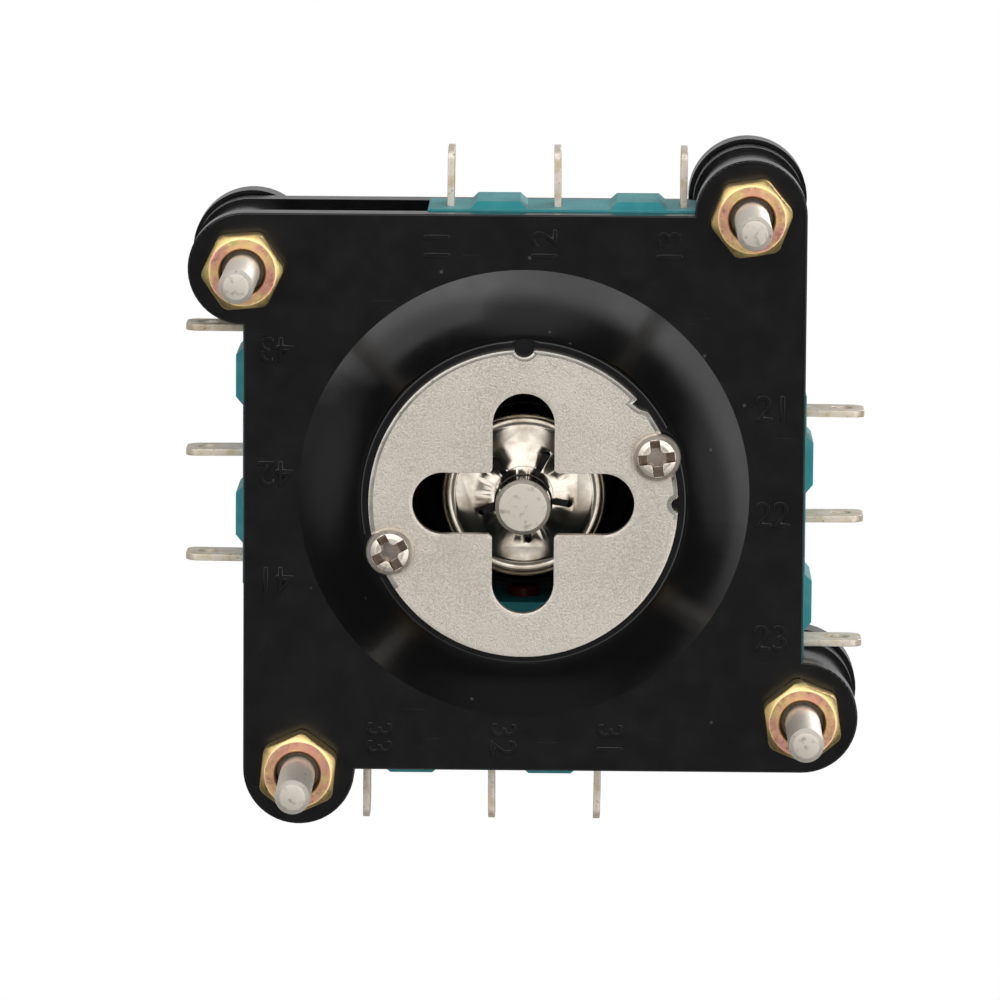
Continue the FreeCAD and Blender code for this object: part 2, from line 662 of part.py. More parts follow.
def make_boot():
    """Rubber bellows round the lever, with a flat foot and a snug collar."""
    outer_points, outer = boot_face(0)
    inner_points, inner = boot_face(BOOT_WALL)
    foot_low = Z_BOOT
    bore = LEVER_SHAFT_R + SOFT_GAP
    foot = [
        inner_points[0],
        vec(inner_points[0].x, 0, foot_low),
        vec(BOOT_FOOT_R, 0, foot_low),
        vec(BOOT_FOOT_R, 0, Z_BOOT_FOLDS),
        outer_points[0],
    ]
    top = Z_BOOT_COLLAR + BOOT_COLLAR_H
    collar_points = [
        outer_points[-1],
        vec(BOOT_COLLAR_R, 0, Z_BOOT_COLLAR + BOOT_WALL),
        vec(BOOT_COLLAR_R, 0, top),
        vec(bore, 0, top),
        vec(bore, 0, Z_BOOT_COLLAR),
        inner_points[-1],
    ]
    edges = [Part.makeLine(a, b) for a, b in zip(foot, foot[1:])] + outer
    edges += [Part.makeLine(a, b) for a, b in zip(collar_points, collar_points[1:])]
    return turned_wire(edges + inner[::-1])


def make_boot_ring():
    """Ring that holds the boot's foot down on the flange."""
    low = Z_BOOT
    lip = Z_BOOT_FOLDS + SOFT_GAP
    top = low + BOOT_RING_H
    inner = BOOT_RING_BORE_R
    return turned([
        (inner, low), (BOOT_RING_R, low), (BOOT_RING_R, top), (inner - BOOT_RING_LIP, top),
        (inner - BOOT_RING_LIP, lip), (inner, lip),
    ])


def all_pieces():
    pieces = {
        "base_plate": make_base_plate(),
        "gate_plate": make_gate_plate(),
        "upper_plate": make_upper_plate(),
        "panel_gasket": make_gasket(),
        "mounting_flange": make_mounting_flange(),
        "lever_shaft": make_lever_shaft(),
        "ball_knob": make_knob(),
        "pivot_ball": make_pivot_ball(),
        "ball_seat": make_ball_seat(),
        "seat_retainer": make_seat_retainer(),
        "star_washer": make_star_washer(),
        "actuator_sleeve": make_actuator(),
        "centring_spring": make_spring(),
        "bellows_boot": make_boot(),
        "boot_ring": make_boot_ring(),
    }
    for i, degrees in enumerate(GATE_SCREW_ANGLES):
        pieces[f"gate_screw_{i + 1}"] = make_gate_screw(degrees)
    case, cover, plunger = make_switch_case(), make_switch_cover(), make_plunger()
    blades = [make_terminal(x) for x in TERMINALS_AT]
    for i in range(4):
        pieces[f"switch_case_{i + 1}"] = rotated(case, 90 * i)
        pieces[f"switch_cover_{i + 1}"] = rotated(cover, 90 * i)
        pieces[f"plunger_{i + 1}"] = rotated(plunger, 90 * i)
        for name, blade in zip(("normally_closed", "normally_open", "common"), blades):
            pieces[f"terminal_{name}_{i + 1}"] = rotated(blade, 90 * i)
    for i, (x, y) in enumerate(corner_places()):
        pieces[f"corner_screw_{i + 1}"] = make_corner_screw(x, y)
        pieces[f"screw_washer_{i + 1}"] = make_washer(x, y)
        pieces[f"hex_nut_{i + 1}"] = make_nut(x, y, NUT_TURNS[i] + 90 * i)
    return pieces


def main():
    os.makedirs("parts", exist_ok=True)
    for name, shape in all_pieces().items():
        solids = shape.Solids
        state = "valid" if shape.isValid() else "INVALID"
        print(name, len(solids), "solid", round(shape.Volume, 2), "mm3", state)
        whole = solids[0] if len(solids) == 1 else shape
        whole.exportStep(f"parts/{name}.step")


main()
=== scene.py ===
"""Four-way joystick switch with a cross gate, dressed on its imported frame.

Sizes are in millimetres in the classes below, and in metres once a mesh is made.
The frame's Z points from the four screw ends (Z = 0) up to the knob.
"""

import logging
import math
from dataclasses import dataclass
from enum import Enum
from typing import Any, Callable, Sequence

import bmesh
import bpy
from mathutils import Matrix, Vector


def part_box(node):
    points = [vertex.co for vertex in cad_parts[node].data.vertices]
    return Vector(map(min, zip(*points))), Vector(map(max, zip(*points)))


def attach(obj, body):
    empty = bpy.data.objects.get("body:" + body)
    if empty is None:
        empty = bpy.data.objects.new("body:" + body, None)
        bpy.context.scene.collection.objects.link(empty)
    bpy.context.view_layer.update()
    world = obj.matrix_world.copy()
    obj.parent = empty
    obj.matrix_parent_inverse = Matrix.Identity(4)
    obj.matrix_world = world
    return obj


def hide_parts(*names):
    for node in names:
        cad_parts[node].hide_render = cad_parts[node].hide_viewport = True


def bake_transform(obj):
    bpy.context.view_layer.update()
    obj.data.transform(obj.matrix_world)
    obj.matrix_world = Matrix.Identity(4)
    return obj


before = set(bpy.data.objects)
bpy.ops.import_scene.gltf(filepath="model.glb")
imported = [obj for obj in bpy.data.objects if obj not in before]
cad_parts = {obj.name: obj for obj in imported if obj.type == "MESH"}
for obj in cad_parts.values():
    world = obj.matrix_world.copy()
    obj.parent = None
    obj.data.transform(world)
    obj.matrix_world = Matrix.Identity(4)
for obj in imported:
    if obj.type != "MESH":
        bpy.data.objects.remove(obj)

MM = 0.001
WELD = 0.002 * MM
NEARLY_FLAT = math.radians(0.4)
NEAR_MM = 0.05
QUARTER = math.pi / 2
# Levels of a cross recess: the share of its depth, then of its reach and of its half width
RECESS_LEVELS = ((-0.45, 1.25, 1.12), (0.55, 0.8, 0.94), (1.0, 0.5, 0.8))
LOG = logging.getLogger("joystick_switch")
Point2 = tuple[float, float]
Point3 = tuple[float, float, float]
Piece = bpy.types.Object
Mesh = bpy.types.Mesh
Shape = bmesh.types.BMesh
Row = list[bmesh.types.BMVert]
Tree = bpy.types.NodeTree
Node = bpy.types.Node
Socket = bpy.types.NodeSocket


class Body(Enum):
    """Moving bodies of the frame that a piece can ride on."""

    HOUSING = "housing"
    SEAT = "lever_seat"
    LEVER = "lever"
    BUTTON_1 = "button_1"
    BUTTON_2 = "button_2"
    BUTTON_3 = "button_3"
    BUTTON_4 = "button_4"


class Slot(Enum):
    """Material slots, by the names that the record gives them."""

    MOULDING = "black_moulding"
    NICKEL = "nickel_steel"
    SCREW = "nickel_screw"
    CHROMATE = "zinc_chromate"
    CHROME = "chrome_rod"
    WASHER = "bright_washer"
    SPRING = "spring_steel"
    TEAL = "teal_case"
    BUTTON = "button_plastic"
    ACETAL = "white_acetal"
    BRASS = "tinned_brass"
    RUBBER = "black_rubber"
    KNOB = "black_knob"


# Nodes, meshes and placing


def linear(hex_colour: str) -> tuple[float, float, float, float]:
    """Turns an sRGB colour into linear light.

    Args:
        hex_colour: six hex digits, with or without a leading #.

    Returns:
        Red, green, blue and an alpha of 1.
    """
    digits = hex_colour.lstrip("#")
    parts = [int(digits[i:i + 2], 16) / 255 for i in (0, 2, 4)]
    red, green, blue = [p / 12.92 if p <= 0.04045 else ((p + 0.055) / 1.055) ** 2.4 for p in parts]
    return red, green, blue, 1.0


def add_node(tree: Tree, kind: str, inputs: dict[str | int, Any] | None = None, **settings: Any) -> Node:
    """Adds a node with its settings, values and links.

    Args:
        tree: the node tree that gets the node.
        kind: the node's type name.
        inputs: for each input's name or number a value, an output socket to link, or a node, which is linked
            by the first of its outputs that is in use.
        settings: properties of the node, set before its inputs.

    Returns:
        The new node.
    """
    node = tree.nodes.new(kind)
    for key, value in settings.items():
        setattr(node, key, value)
    for key, value in (inputs or {}).items():
        if isinstance(value, Node):
            value = next(socket for socket in value.outputs if socket.enabled)
        if isinstance(value, Socket):
            tree.links.new(value, node.inputs[key])
        else:
            node.inputs[key].default_value = value
    return node


def object_from(name: str, data: bpy.types.ID) -> Piece:
    """Links a new object for a mesh, curve, light or camera to the scene.

    Args:
        name: the object's name.
        data: what it shows.

    Returns:
        The new object, at the origin.
    """
    made = bpy.data.objects.new(name, data)
    bpy.context.scene.collection.objects.link(made)
    return made


def piece_from(name: str, shape: Shape) -> Piece:
    """Makes a piece of what mesh code has built.

    Args:
        name: name of the new piece.
        shape: the mesh that was built, which is freed.

    Returns:
        The new piece.
    """
    mesh = bpy.data.meshes.new(name)
    shape.to_mesh(mesh)
    shape.free()
    return object_from(name, mesh)


def evaluated_mesh(piece: Piece) -> Mesh:
    """Makes a plain mesh of what a piece's curve or modifiers make.

    Args:
        piece: the curve, or the mesh with modifiers, which is left as it is.

    Returns:
        The new mesh.
    """
    bpy.context.view_layer.update()
    graph = bpy.context.evaluated_depsgraph_get()
    return bpy.data.meshes.new_from_object(piece.evaluated_get(graph), depsgraph=graph)


def bake_modifiers(piece: Piece) -> None:
    """Turns a piece with modifiers into the plain mesh that they make.

    Args:
        piece: mesh object, changed in place.
    """
    old, mesh = piece.data, evaluated_mesh(piece)
    piece.modifiers.clear()
    piece.data = mesh
    mesh.name = piece.name
    bpy.data.meshes.remove(old)


def mesh_of_curve(curve: bpy.types.Curve) -> Mesh:
    """Turns a text or a flat curve into a plain mesh.

    Args:
        curve: the curve, which is deleted.

    Returns:
        The new mesh.
    """
    holder = object_from(curve.name, curve)
    mesh = evaluated_mesh(holder)
    bpy.data.objects.remove(holder)
    bpy.data.curves.remove(curve)
    return mesh


def modify(piece: Piece, kind: str, **settings: Any) -> None:
    """Applies a modifier to a piece.

    Args:
        piece: mesh object, changed in place.
        kind: the modifier's type.
        settings: its properties.
    """
    modifier = piece.modifiers.new(kind.lower(), kind)
    for key, value in settings.items():
        setattr(modifier, key, value)
    bake_modifiers(piece)


def smooth_by_angle(mesh: Mesh, degrees: float) -> None:
    """Shades a mesh smooth, apart from edges sharper than the angle."""
    mesh.polygons.foreach_set("use_smooth", [True] * len(mesh.polygons))
    mesh.set_sharp_from_angle(angle=math.radians(degrees))


def flatten_shading(piece: Piece) -> None:
    """Weights a piece's normals by face area, so that large faces stay flat beside their rounded edges."""
    modify(piece, "WEIGHTED_NORMAL", mode="FACE_AREA", weight=100, keep_sharp=True)


def rounded(piece: Piece, width: float, segments: int = 3, angle: float = 28.0, flat: bool = True) -> None:
    """Rounds a piece's sharp edges and shades the result.

    Args:
        piece: mesh object, changed in place.
        width: radius of the rounding in mm.
        segments: steps of the rounding.
        angle: edges sharper than this, in degrees, are rounded.
        flat: whether large faces are shaded flat; pressed sheet keeps its even curve without.
    """
    modify(
        piece, "BEVEL", width=width * MM, segments=segments, limit_method="ANGLE",
        angle_limit=math.radians(angle), miter_outer="MITER_ARC",
    )
    smooth_by_angle(piece.data, max(angle, 40.0))
    if flat:
        flatten_shading(piece)


def softened(
    name: str, nodes: Sequence[str], edge: float, segments: int = 3, flat: bool = True,
    first: Callable[[Shape], None] | None = None,
) -> Piece:
    """Copies CAD nodes into one merged mesh with rounded edges.

    Args:
        name: name of the new piece.
        nodes: CAD nodes to copy.
        edge: radius of the edges in mm, or 0 to leave them sharp.
        segments: steps of each rounded edge.
        flat: whether large faces are shaded flat.
        first: work on the merged mesh before its edges are rounded.

    Returns:
        The new piece, at the origin.
    """
    shape = bmesh.new()
    for node in nodes:
        shape.from_mesh(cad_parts[node].data)
    bmesh.ops.remove_doubles(shape, verts=shape.verts, dist=WELD)
    bmesh.ops.dissolve_limit(shape, angle_limit=NEARLY_FLAT, verts=shape.verts, edges=shape.edges)
    if first:
        shape.normal_update()
        first(shape)
    piece = piece_from(name, shape)
    if edge > 0:
        rounded(piece, edge, segments, flat=flat)
    else:
        smooth_by_angle(piece.data, 28)
        flatten_shading(piece)
    return piece


def even_turns(count: int) -> list[float]:
    """Divides a full turn evenly, in radians."""
    return [2 * math.pi * i / count for i in range(count)]


def ring_of(shape: Shape, points: Sequence[Point2]) -> Row:
    """Adds points to a mesh at even angles round the Z axis.

    Args:
        shape: the mesh.
        points: (radius, height) in mm for each angle in turn; one alone stands for a pole.

    Returns:
        The new points.
    """
    turns = even_turns(len(points))
    places = [(r * MM * math.cos(a), r * MM * math.sin(a), z * MM) for a, (r, z) in zip(turns, points)]
    return [shape.verts.new(place) for place in places]


def lofted(
    name: str, shape: Shape, rows: Sequence[Row], closed: bool = False, capped: bool = False
) -> Piece:
    """Makes a piece by filling the bands between rows of points.

    Args:
        name: name of the new piece.
        shape: mesh that holds the points.
        rows: rows of as many points each; a row of one point is a pole.
        closed: whether the last row joins the first.
        capped: whether the first and the last row are filled.

    Returns:
        The new piece, with its faces outwards.
    """
    pairs = list(zip(rows, rows[1:]))
    if closed:
        pairs.append((rows[-1], rows[0]))
    for low, high in pairs:
        steps = max(len(low), len(high))
        for i in range(steps):
            j = (i + 1) % steps
            corners = [low[i % len(low)], low[j % len(low)], high[j % len(high)], high[i % len(high)]]
            band = list(dict.fromkeys(corners))
            if len(band) > 2:
                shape.faces.new(band)
    if capped:
        shape.faces.new(rows[0])
        shape.faces.new(rows[-1])
    bmesh.ops.recalc_face_normals(shape, faces=shape.faces)
    return piece_from(name, shape)


def turned(name: str, profile: Sequence[Point2], steps: int = 128, closed: bool = False) -> Piece:
    """Turns a profile round the Z axis.

    Args:
        name: name of the new piece.
        profile: (radius, height) points in mm; a radius of 0 closes the shape with a pole.
        steps: facets round the axis.
        closed: whether the last point joins the first, for a ring.

    Returns:
        The new piece, with its faces outwards.
    """
    shape = bmesh.new()
    rows = [ring_of(shape, [point] * (steps if point[0] > 0 else 1)) for point in profile]
    return lofted(name, shape, rows, closed)


def fillet(profile: Sequence[Point2], radii: Sequence[float], steps: int = 5) -> list[Point2]:
    """Rounds the corners of an open profile.

    Args:
        profile: (radius, height) points in mm.
        radii: radius for each point; 0 keeps the corner, and the two ends are always kept.
        steps: points on each arc.

    Returns:
        The profile with an arc in place of each rounded corner.
    """
    out = [profile[0]]
    for before, here, after, radius in zip(profile, profile[1:], profile[2:], radii[1:]):
        if radius <= 0:
            out.append(here)
            continue
        p, a, b = Vector(here), Vector(before) - Vector(here), Vector(after) - Vector(here)
        half = a.angle(b) / 2
        reach = min(radius / math.tan(half), a.length * 0.49, b.length * 0.49)
        start, end = p + a.normalized() * reach, p + b.normalized() * reach
        for i in range(steps + 1):
            t = i / steps
            point = start * (1 - t) ** 2 + p * 2 * t * (1 - t) + end * t ** 2
            out.append((point.x, point.y))
    out.append(profile[-1])
    return out


def flat_plate(name: str, outlines: Sequence[Sequence[Point2]], thickness: float, edge: float) -> Piece:
    """Fills flat outlines and gives them a thickness with rounded edges.

    Args:
        name: name of the new piece.
        outlines: the outer outline first, then its holes, as points in mm.
        thickness: along Z, half to each side.
        edge: radius of the edges.

    Returns:
        The new piece.
    """
    curve = bpy.data.curves.new(name, "CURVE")
    curve.dimensions = "2D"
    curve.fill_mode = "BOTH"
    curve.extrude = (thickness / 2 - edge) * MM
    curve.bevel_depth = edge * MM
    curve.bevel_resolution = 2
    curve.offset = -edge * MM
    for points in outlines:
        spline = curve.splines.new("POLY")
        spline.points.add(len(points) - 1)
        for target, (x, y) in zip(spline.points, points):
            target.co = (x * MM, y * MM, 0, 1)
        spline.use_cyclic_u = True
    mesh = mesh_of_curve(curve)
    shape = bmesh.new()
    shape.from_mesh(mesh)
    bpy.data.meshes.remove(mesh)
    bmesh.ops.remove_doubles(shape, verts=shape.verts, dist=0.001 * MM)
    bmesh.ops.recalc_face_normals(shape, faces=shape.faces)
    piece = piece_from(name, shape)
    smooth_by_angle(piece.data, 35)
    return piece


def joined(name: str, pieces: Sequence[Piece]) -> Piece:
    """Joins pieces into one.

    Args:
        name: name of the new piece.
        pieces: the pieces, which are deleted.

    Returns:
        The new piece.
    """
    shape = bmesh.new()
    for piece in pieces:
        shape.from_mesh(piece.data)
        bpy.data.objects.remove(piece)
    return piece_from(name, shape)


def cut_away(piece: Piece, cutter: Piece) -> None:
    """Subtracts a cutter from a piece, then deletes the cutter."""
    modify(piece, "BOOLEAN", operation="DIFFERENCE", solver="EXACT", object=cutter)
    bpy.data.objects.remove(cutter)


def recess_cutter(name: str, z: float, reach: float, half: float, depth: float) -> Piece:
    """Makes the cross that a cross-head recess is cut with.

    Args:
        name: name of the cutter.
        z: level of the head's top in mm, which faces -Z.
        reach: half the span of the arms at the surface.
        half: half the width of an arm.
        depth: depth of the recess.

    Returns:
        The cutter, centred on the axis.
    """
    shape = bmesh.new()
    nose = half * 0.75
    rows = []
    for level, long, wide in RECESS_LEVELS:
        middle = half * wide + nose
        arm = [(reach * long, -half * wide), (reach * long, half * wide)]
        for step in range(5):
            a = math.radians(270 - 22.5 * step)
            arm.append((middle + nose * math.cos(a), middle + nose * math.sin(a)))
        spins = [Matrix.Rotation(turn * QUARTER, 2) for turn in range(4)]
        points = [spin @ Vector(point) for spin in spins for point in arm]
        rows.append([shape.verts.new((q.x * MM, q.y * MM, (z + depth * level) * MM)) for q in points])
    return lofted(name, shape, rows, capped=True)


def four(stem: str) -> list[str]:
    """Names the four nodes of a kind."""
    return [f"{stem}_{i}" for i in range(1, 5)]


def distance_from(centre: Vector, angles: Sequence[float], radius: float) -> float:
    """Measures how far a point lies, seen along Z, from the nearest of some places on a circle.

    Args:
        centre: the point, in mm.
        angles: turns of the places round the Z axis, in radians.
        radius: the circle's radius in mm.

    Returns:
        The distance in mm.
    """
    return min((Vector(centre.xy) - Vector((math.cos(a), math.sin(a))) * radius).length for a in angles)


def dress(piece: Piece, finish: "Finish", body: Body, nodes: Sequence[str] = ()) -> None:
    """Gives a piece its finish and its place in the frame.

    Args:
        piece: finished mesh object at the origin.
        finish: its surface.
        body: the CAD body that it rides on.
        nodes: CAD nodes that it replaces.
    """
    piece.data.materials.clear()
    piece.data.materials.append(finish.material())
    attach(piece, body.value)
    if nodes:
        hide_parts(*nodes)
    LOG.info("%s: %d faces on %s", piece.name, len(piece.data.polygons), body.value)


def coat_faces(piece: Piece, finish: "Finish", chosen: Callable[[Vector, Vector], bool]) -> None:
    """Gives some of a dressed piece's faces a finish of their own.

    Args:
        piece: dressed mesh object.
        finish: the surface of the chosen faces.
        chosen: tells from a face's centre, in mm, and its normal whether it is one of them.
    """
    piece.data.materials.append(finish.material())
    index = len(piece.data.materials) - 1
    for face in piece.data.polygons:
        if chosen(face.center / MM, face.normal):
            face.material_index = index


# Finishes


@dataclass(frozen=True)
class Finish:
    """A surface finish. Subclasses say what their shader gets."""

    def material(self) -> bpy.types.Material:
        """Makes the material once and hands it out again after that.

        Returns:
            The material, named for the finish.
        """
        name = type(self).__name__
        made = bpy.data.materials.get(name)
        if made:
            return made
        made = bpy.data.materials.new(name)
        made.use_nodes = True
        tree = made.node_tree
        tree.nodes.clear()
        where = add_node(tree, "ShaderNodeTexCoord").outputs["Object"]
        place = add_node(tree, "ShaderNodeMapping", {"Vector": where, "Scale": (1 / MM,) * 3})
        shader = add_node(tree, "ShaderNodeBsdfPrincipled", self.shade(tree, place))
        add_node(tree, "ShaderNodeOutputMaterial", {"Surface": shader})
        return made

    def shade(self, tree: Tree, place: Node) -> dict[str, Any]:
        """Says what the shader gets.

        Args:
            tree: the material's nodes.
            place: position on the object in millimetres.

        Returns:
            A value or a node for each of the shader's inputs.
        """
        raise NotImplementedError


@dataclass(frozen=True)
class GlossMoulding(Finish):
    """Gloss black ABS, injection moulded.

    The eye gets deep black with soft wide reflections, faint hairline scratches from handling and a few
    specks of dust.
    """

    colour: str = "#0A0A0B"
    dust: str = "#5C5A57"
    peel_mm: float = 2.4
    scratch_mm: float = 7.0
    scratches_per_mm: float = 5.0
    scratch_turns: tuple[float, float] = (0.5, 2.1)
    speck_pitch_mm: float = 4.2

    def shade(self, tree: Tree, place: Node) -> dict[str, Any]:
        """Black body with orange peel, scratches and dust.

        Args:
            tree: the material's nodes.
            place: position on the object in millimetres.

        Returns:
            A value or a node for each of the shader's inputs.
        """
        peel = add_node(tree, "ShaderNodeTexNoise", {
            "Vector": place, "Scale": 1 / self.peel_mm, "Detail": 3.0,
        })
        hairs = []
        for turn in self.scratch_turns:
            along = add_node(tree, "ShaderNodeMapping", {
                "Vector": place, "Rotation": (0.0, 0.0, turn),
                "Scale": (1 / self.scratch_mm, self.scratches_per_mm, 1 / self.scratch_mm),
            })
            hair = add_node(tree, "ShaderNodeTexNoise", {"Vector": along, "Scale": 1.0, "Detail": 2.0})
            hairs.append(add_node(tree, "ShaderNodeMapRange", {
                "Value": hair, "From Min": 0.7, "From Max": 0.8,
            }))
        scratch = add_node(tree, "ShaderNodeMath", {0: hairs[0], 1: hairs[1]}, operation="MAXIMUM")
        cell = add_node(tree, "ShaderNodeTexVoronoi", {
            "Vector": place, "Scale": 1 / self.speck_pitch_mm, "Randomness": 1.0,
        })
        speck = add_node(tree, "ShaderNodeMapRange", {
            "Value": cell, "From Min": 0.055, "From Max": 0.02, "To Min": 0.0, "To Max": 0.6,
        })
        tone = add_node(tree, "ShaderNodeMix", {
            0: speck, 6: linear(self.colour), 7: linear(self.dust),
        }, data_type="RGBA")
        worn = add_node(tree, "ShaderNodeMapRange", {
            "Value": peel, "From Min": 0.3, "From Max": 0.7, "To Min": 0.17, "To Max": 0.24,
        })
        rough = add_node(tree, "ShaderNodeMath", {0: scratch, 1: 0.08, 2: worn}, operation="MULTIPLY_ADD")
        height = add_node(tree, "ShaderNodeMath", {0: scratch, 1: -0.25, 2: peel}, operation="MULTIPLY_ADD")
        bump = add_node(tree, "ShaderNodeBump", {"Strength": 0.25, "Distance": 0.02 * MM, "Height": height})
        return {"Base Color": tone, "Roughness": rough, "Normal": bump, "IOR": 1.5}


@dataclass(frozen=True)
class SatinNickel(Finish):
    """Nickel-plated sheet steel, tumbled after punching.

    The eye gets a warm pale grey with a fine grain that sparkles slightly, small dark pits and faint rubbed
    patches. The real grain is finer and is drawn just coarse enough to show.
    """

    light: str = "#DED6CB"
    shade_tone: str = "#C9C1B5"
    grain_mm: float = 0.16
    patch_mm: float = 9.0

    def shade(self, tree: Tree, place: Node) -> dict[str, Any]:
        """Grain in colour, roughness and bump.

        Args:
            tree: the material's nodes.
            place: position on the object in millimetres.

        Returns:
            A value or a node for each of the shader's inputs.
        """
        grain = add_node(tree, "ShaderNodeTexNoise", {
            "Vector": place, "Scale": 1 / self.grain_mm, "Detail": 3.0,
        })
        patch = add_node(tree, "ShaderNodeTexNoise", {
            "Vector": place, "Scale": 1 / self.patch_mm, "Detail": 4.0,
        })
        fine = add_node(tree, "ShaderNodeMath", {0: grain, 1: 0.65, 2: 0.0}, operation="MULTIPLY_ADD")
        both = add_node(tree, "ShaderNodeMath", {0: patch, 1: 0.35, 2: fine}, operation="MULTIPLY_ADD")
        share = add_node(tree, "ShaderNodeMapRange", {"Value": both, "From Min": 0.38, "From Max": 0.58})
        tone = add_node(tree, "ShaderNodeMix", {
            0: share, 6: linear(self.shade_tone), 7: linear(self.light),
        }, data_type="RGBA")
        rough = add_node(tree, "ShaderNodeMapRange", {
            "Value": grain, "From Min": 0.3, "From Max": 0.7, "To Min": 0.34, "To Max": 0.46,
        })
        bump = add_node(tree, "ShaderNodeBump", {"Strength": 0.6, "Distance": 0.05 * MM, "Height": grain})
        return {"Base Color": tone, "Roughness": rough, "Normal": bump, "Metallic": 1.0}


@dataclass(frozen=True)
class BrightNickel(Finish):
    """Bright nickel plate on turned and rolled screws.

    The eye gets a pale warm metal with fine rings left by rolling, soft mottling and small brown smudges.
    """

    colour: str = "#D8D2C9"
    smudge: str = "#6A5D4E"
    ring_mm: float = 0.35
    blotch_mm: float = 0.9
    low_rough: float = 0.2
    high_rough: float = 0.32
    bump_mm: float = 0.03
    metallic: float = 1.0

    def shade(self, tree: Tree, place: Node) -> dict[str, Any]:
        """Rings along Z, mottling and smudges.

        Args:
            tree: the material's nodes.
            place: position on the object in millimetres.

        Returns:
            A value or a node for each of the shader's inputs.
        """
        squeezed = add_node(tree, "ShaderNodeMapping", {
            "Vector": place, "Scale": (0.5, 0.5, 1 / self.ring_mm),
        })
        rings = add_node(tree, "ShaderNodeTexNoise", {"Vector": squeezed, "Scale": 1.0, "Detail": 3.0})
        blotch = add_node(tree, "ShaderNodeTexNoise", {
            "Vector": place, "Scale": 1 / self.blotch_mm, "Detail": 4.0,
        })
        dark = add_node(tree, "ShaderNodeMapRange", {
            "Value": blotch, "From Min": 0.62, "From Max": 0.74, "To Min": 0.0, "To Max": 0.7,
        })
        tone = add_node(tree, "ShaderNodeMix", {
            0: dark, 6: linear(self.colour), 7: linear(self.smudge),
        }, data_type="RGBA")
        rough = add_node(tree, "ShaderNodeMapRange", {
            "Value": rings, "From Min": 0.3, "From Max": 0.7,
            "To Min": self.low_rough, "To Max": self.high_rough,
        })
        bump = add_node(tree, "ShaderNodeBump", {
            "Strength": 0.3, "Distance": self.bump_mm * MM, "Height": rings,
        })
        return {"Base Color": tone, "Roughness": rough, "Normal": bump, "Metallic": self.metallic}


@dataclass(frozen=True)
class RolledScrew(BrightNickel):
    """Nickel plate on thread-rolled studs: paler and silkier, with closer rings and more rubbed smudges."""

    colour: str = "#EFE7DB"
    smudge: str = "#998D7E"
    ring_mm: float = 0.22
    blotch_mm: float = 0.5
    low_rough: float = 0.4
    high_rough: float = 0.58
    bump_mm: float = 0.1
    metallic: float = 0.6


@dataclass(frozen=True)
class TumbledScrew(BrightNickel):
    """Nickel plate on tumbled pan heads: warm and pale, with a broken shine between bright and satin."""

    colour: str = "#E4DACD"
    smudge: str = "#7A6C5E"
    blotch_mm: float = 0.6
    low_rough: float = 0.26
    high_rough: float = 0.44
    bump_mm: float = 0.08
    metallic: float = 0.78


@dataclass(frozen=True)
class PaintedShadeRecess(BrightNickel):
    """Painted shade inside a driver recess: nickel coloured darker and browner, with a dull broken shine."""

    # Painted shade: a darker, browner nickel stands in for the shade inside the recess
    colour: str = "#B2A69C"
    smudge: str = "#574C44"
    blotch_mm: float = 0.45
    low_rough: float = 0.22
    high_rough: float = 0.4


@dataclass(frozen=True)
class YellowChromate(Finish):
    """Zinc plate with a yellow chromate passivation, on pressed nuts.

    The eye gets gold that turns pink and green in cloudy patches, pinker on the flat ring round the bore;
    the bore itself has painted shade.
    """

    gold: str = "#FDDC98"
    pink: str = "#E9AB98"
    green: str = "#C4C588"
    # Painted shade: dark brown for the shade inside the bore
    bore: str = "#7C5F2C"
    cloud_mm: float = 2.6
    fine_per_mm: float = 3.2
    flat_r: float = 3.25
    bore_r: float = 2.3
    blend_mm: float = 0.15

    def shade(self, tree: Tree, place: Node) -> dict[str, Any]:
        """Three cloudy tones led by the distance from the nut's axis, and painted shade in the bore.

        Args:
            tree: the material's nodes.
            place: position on the object in millimetres.

        Returns:
            A value or a node for each of the shader's inputs.
        """
        cloud = add_node(tree, "ShaderNodeTexNoise", {
            "Vector": place, "Scale": 1 / self.cloud_mm, "Detail": 2.0,
        })
        fine = add_node(tree, "ShaderNodeTexNoise", {
            "Vector": place, "Scale": self.fine_per_mm, "Detail": 4.0,
        })
        axis = add_node(tree, "ShaderNodeAttribute", attribute_name="from_axis").outputs["Fac"]
        flat = add_node(tree, "ShaderNodeMapRange", {
            "Value": axis, "From Min": self.flat_r, "From Max": self.flat_r - self.blend_mm,
            "To Min": -0.16, "To Max": 0.12,
        })
        rosy = add_node(tree, "ShaderNodeMath", {0: cloud, 1: flat}, operation="ADD")
        to_pink = add_node(tree, "ShaderNodeMapRange", {"Value": rosy, "From Min": 0.5, "From Max": 0.72})
        to_green = add_node(tree, "ShaderNodeMapRange", {
            "Value": cloud, "From Min": 0.42, "From Max": 0.34, "To Min": 0.0, "To Max": 0.8,
        })
        # Painted shade: the bore's walls, inside bore_r, take the dark brown for the shade inside the nut
        inside = add_node(tree, "ShaderNodeMapRange", {
            "Value": axis, "From Min": self.bore_r, "From Max": self.bore_r - self.blend_mm,
        })
        tone: Any = linear(self.gold)
        for share, colour in ((to_pink, self.pink), (to_green, self.green), (inside, self.bore)):
            tone = add_node(tree, "ShaderNodeMix", {0: share, 6: tone, 7: linear(colour)}, data_type="RGBA")
        rough = add_node(tree, "ShaderNodeMapRange", {
            "Value": fine, "From Min": 0.3, "From Max": 0.7, "To Min": 0.26, "To Max": 0.42,
        })
        bump = add_node(tree, "ShaderNodeBump", {"Strength": 0.25, "Distance": 0.04 * MM, "Height": fine})
        return {"Base Color": tone, "Roughness": rough, "Normal": bump, "Metallic": 1.0}


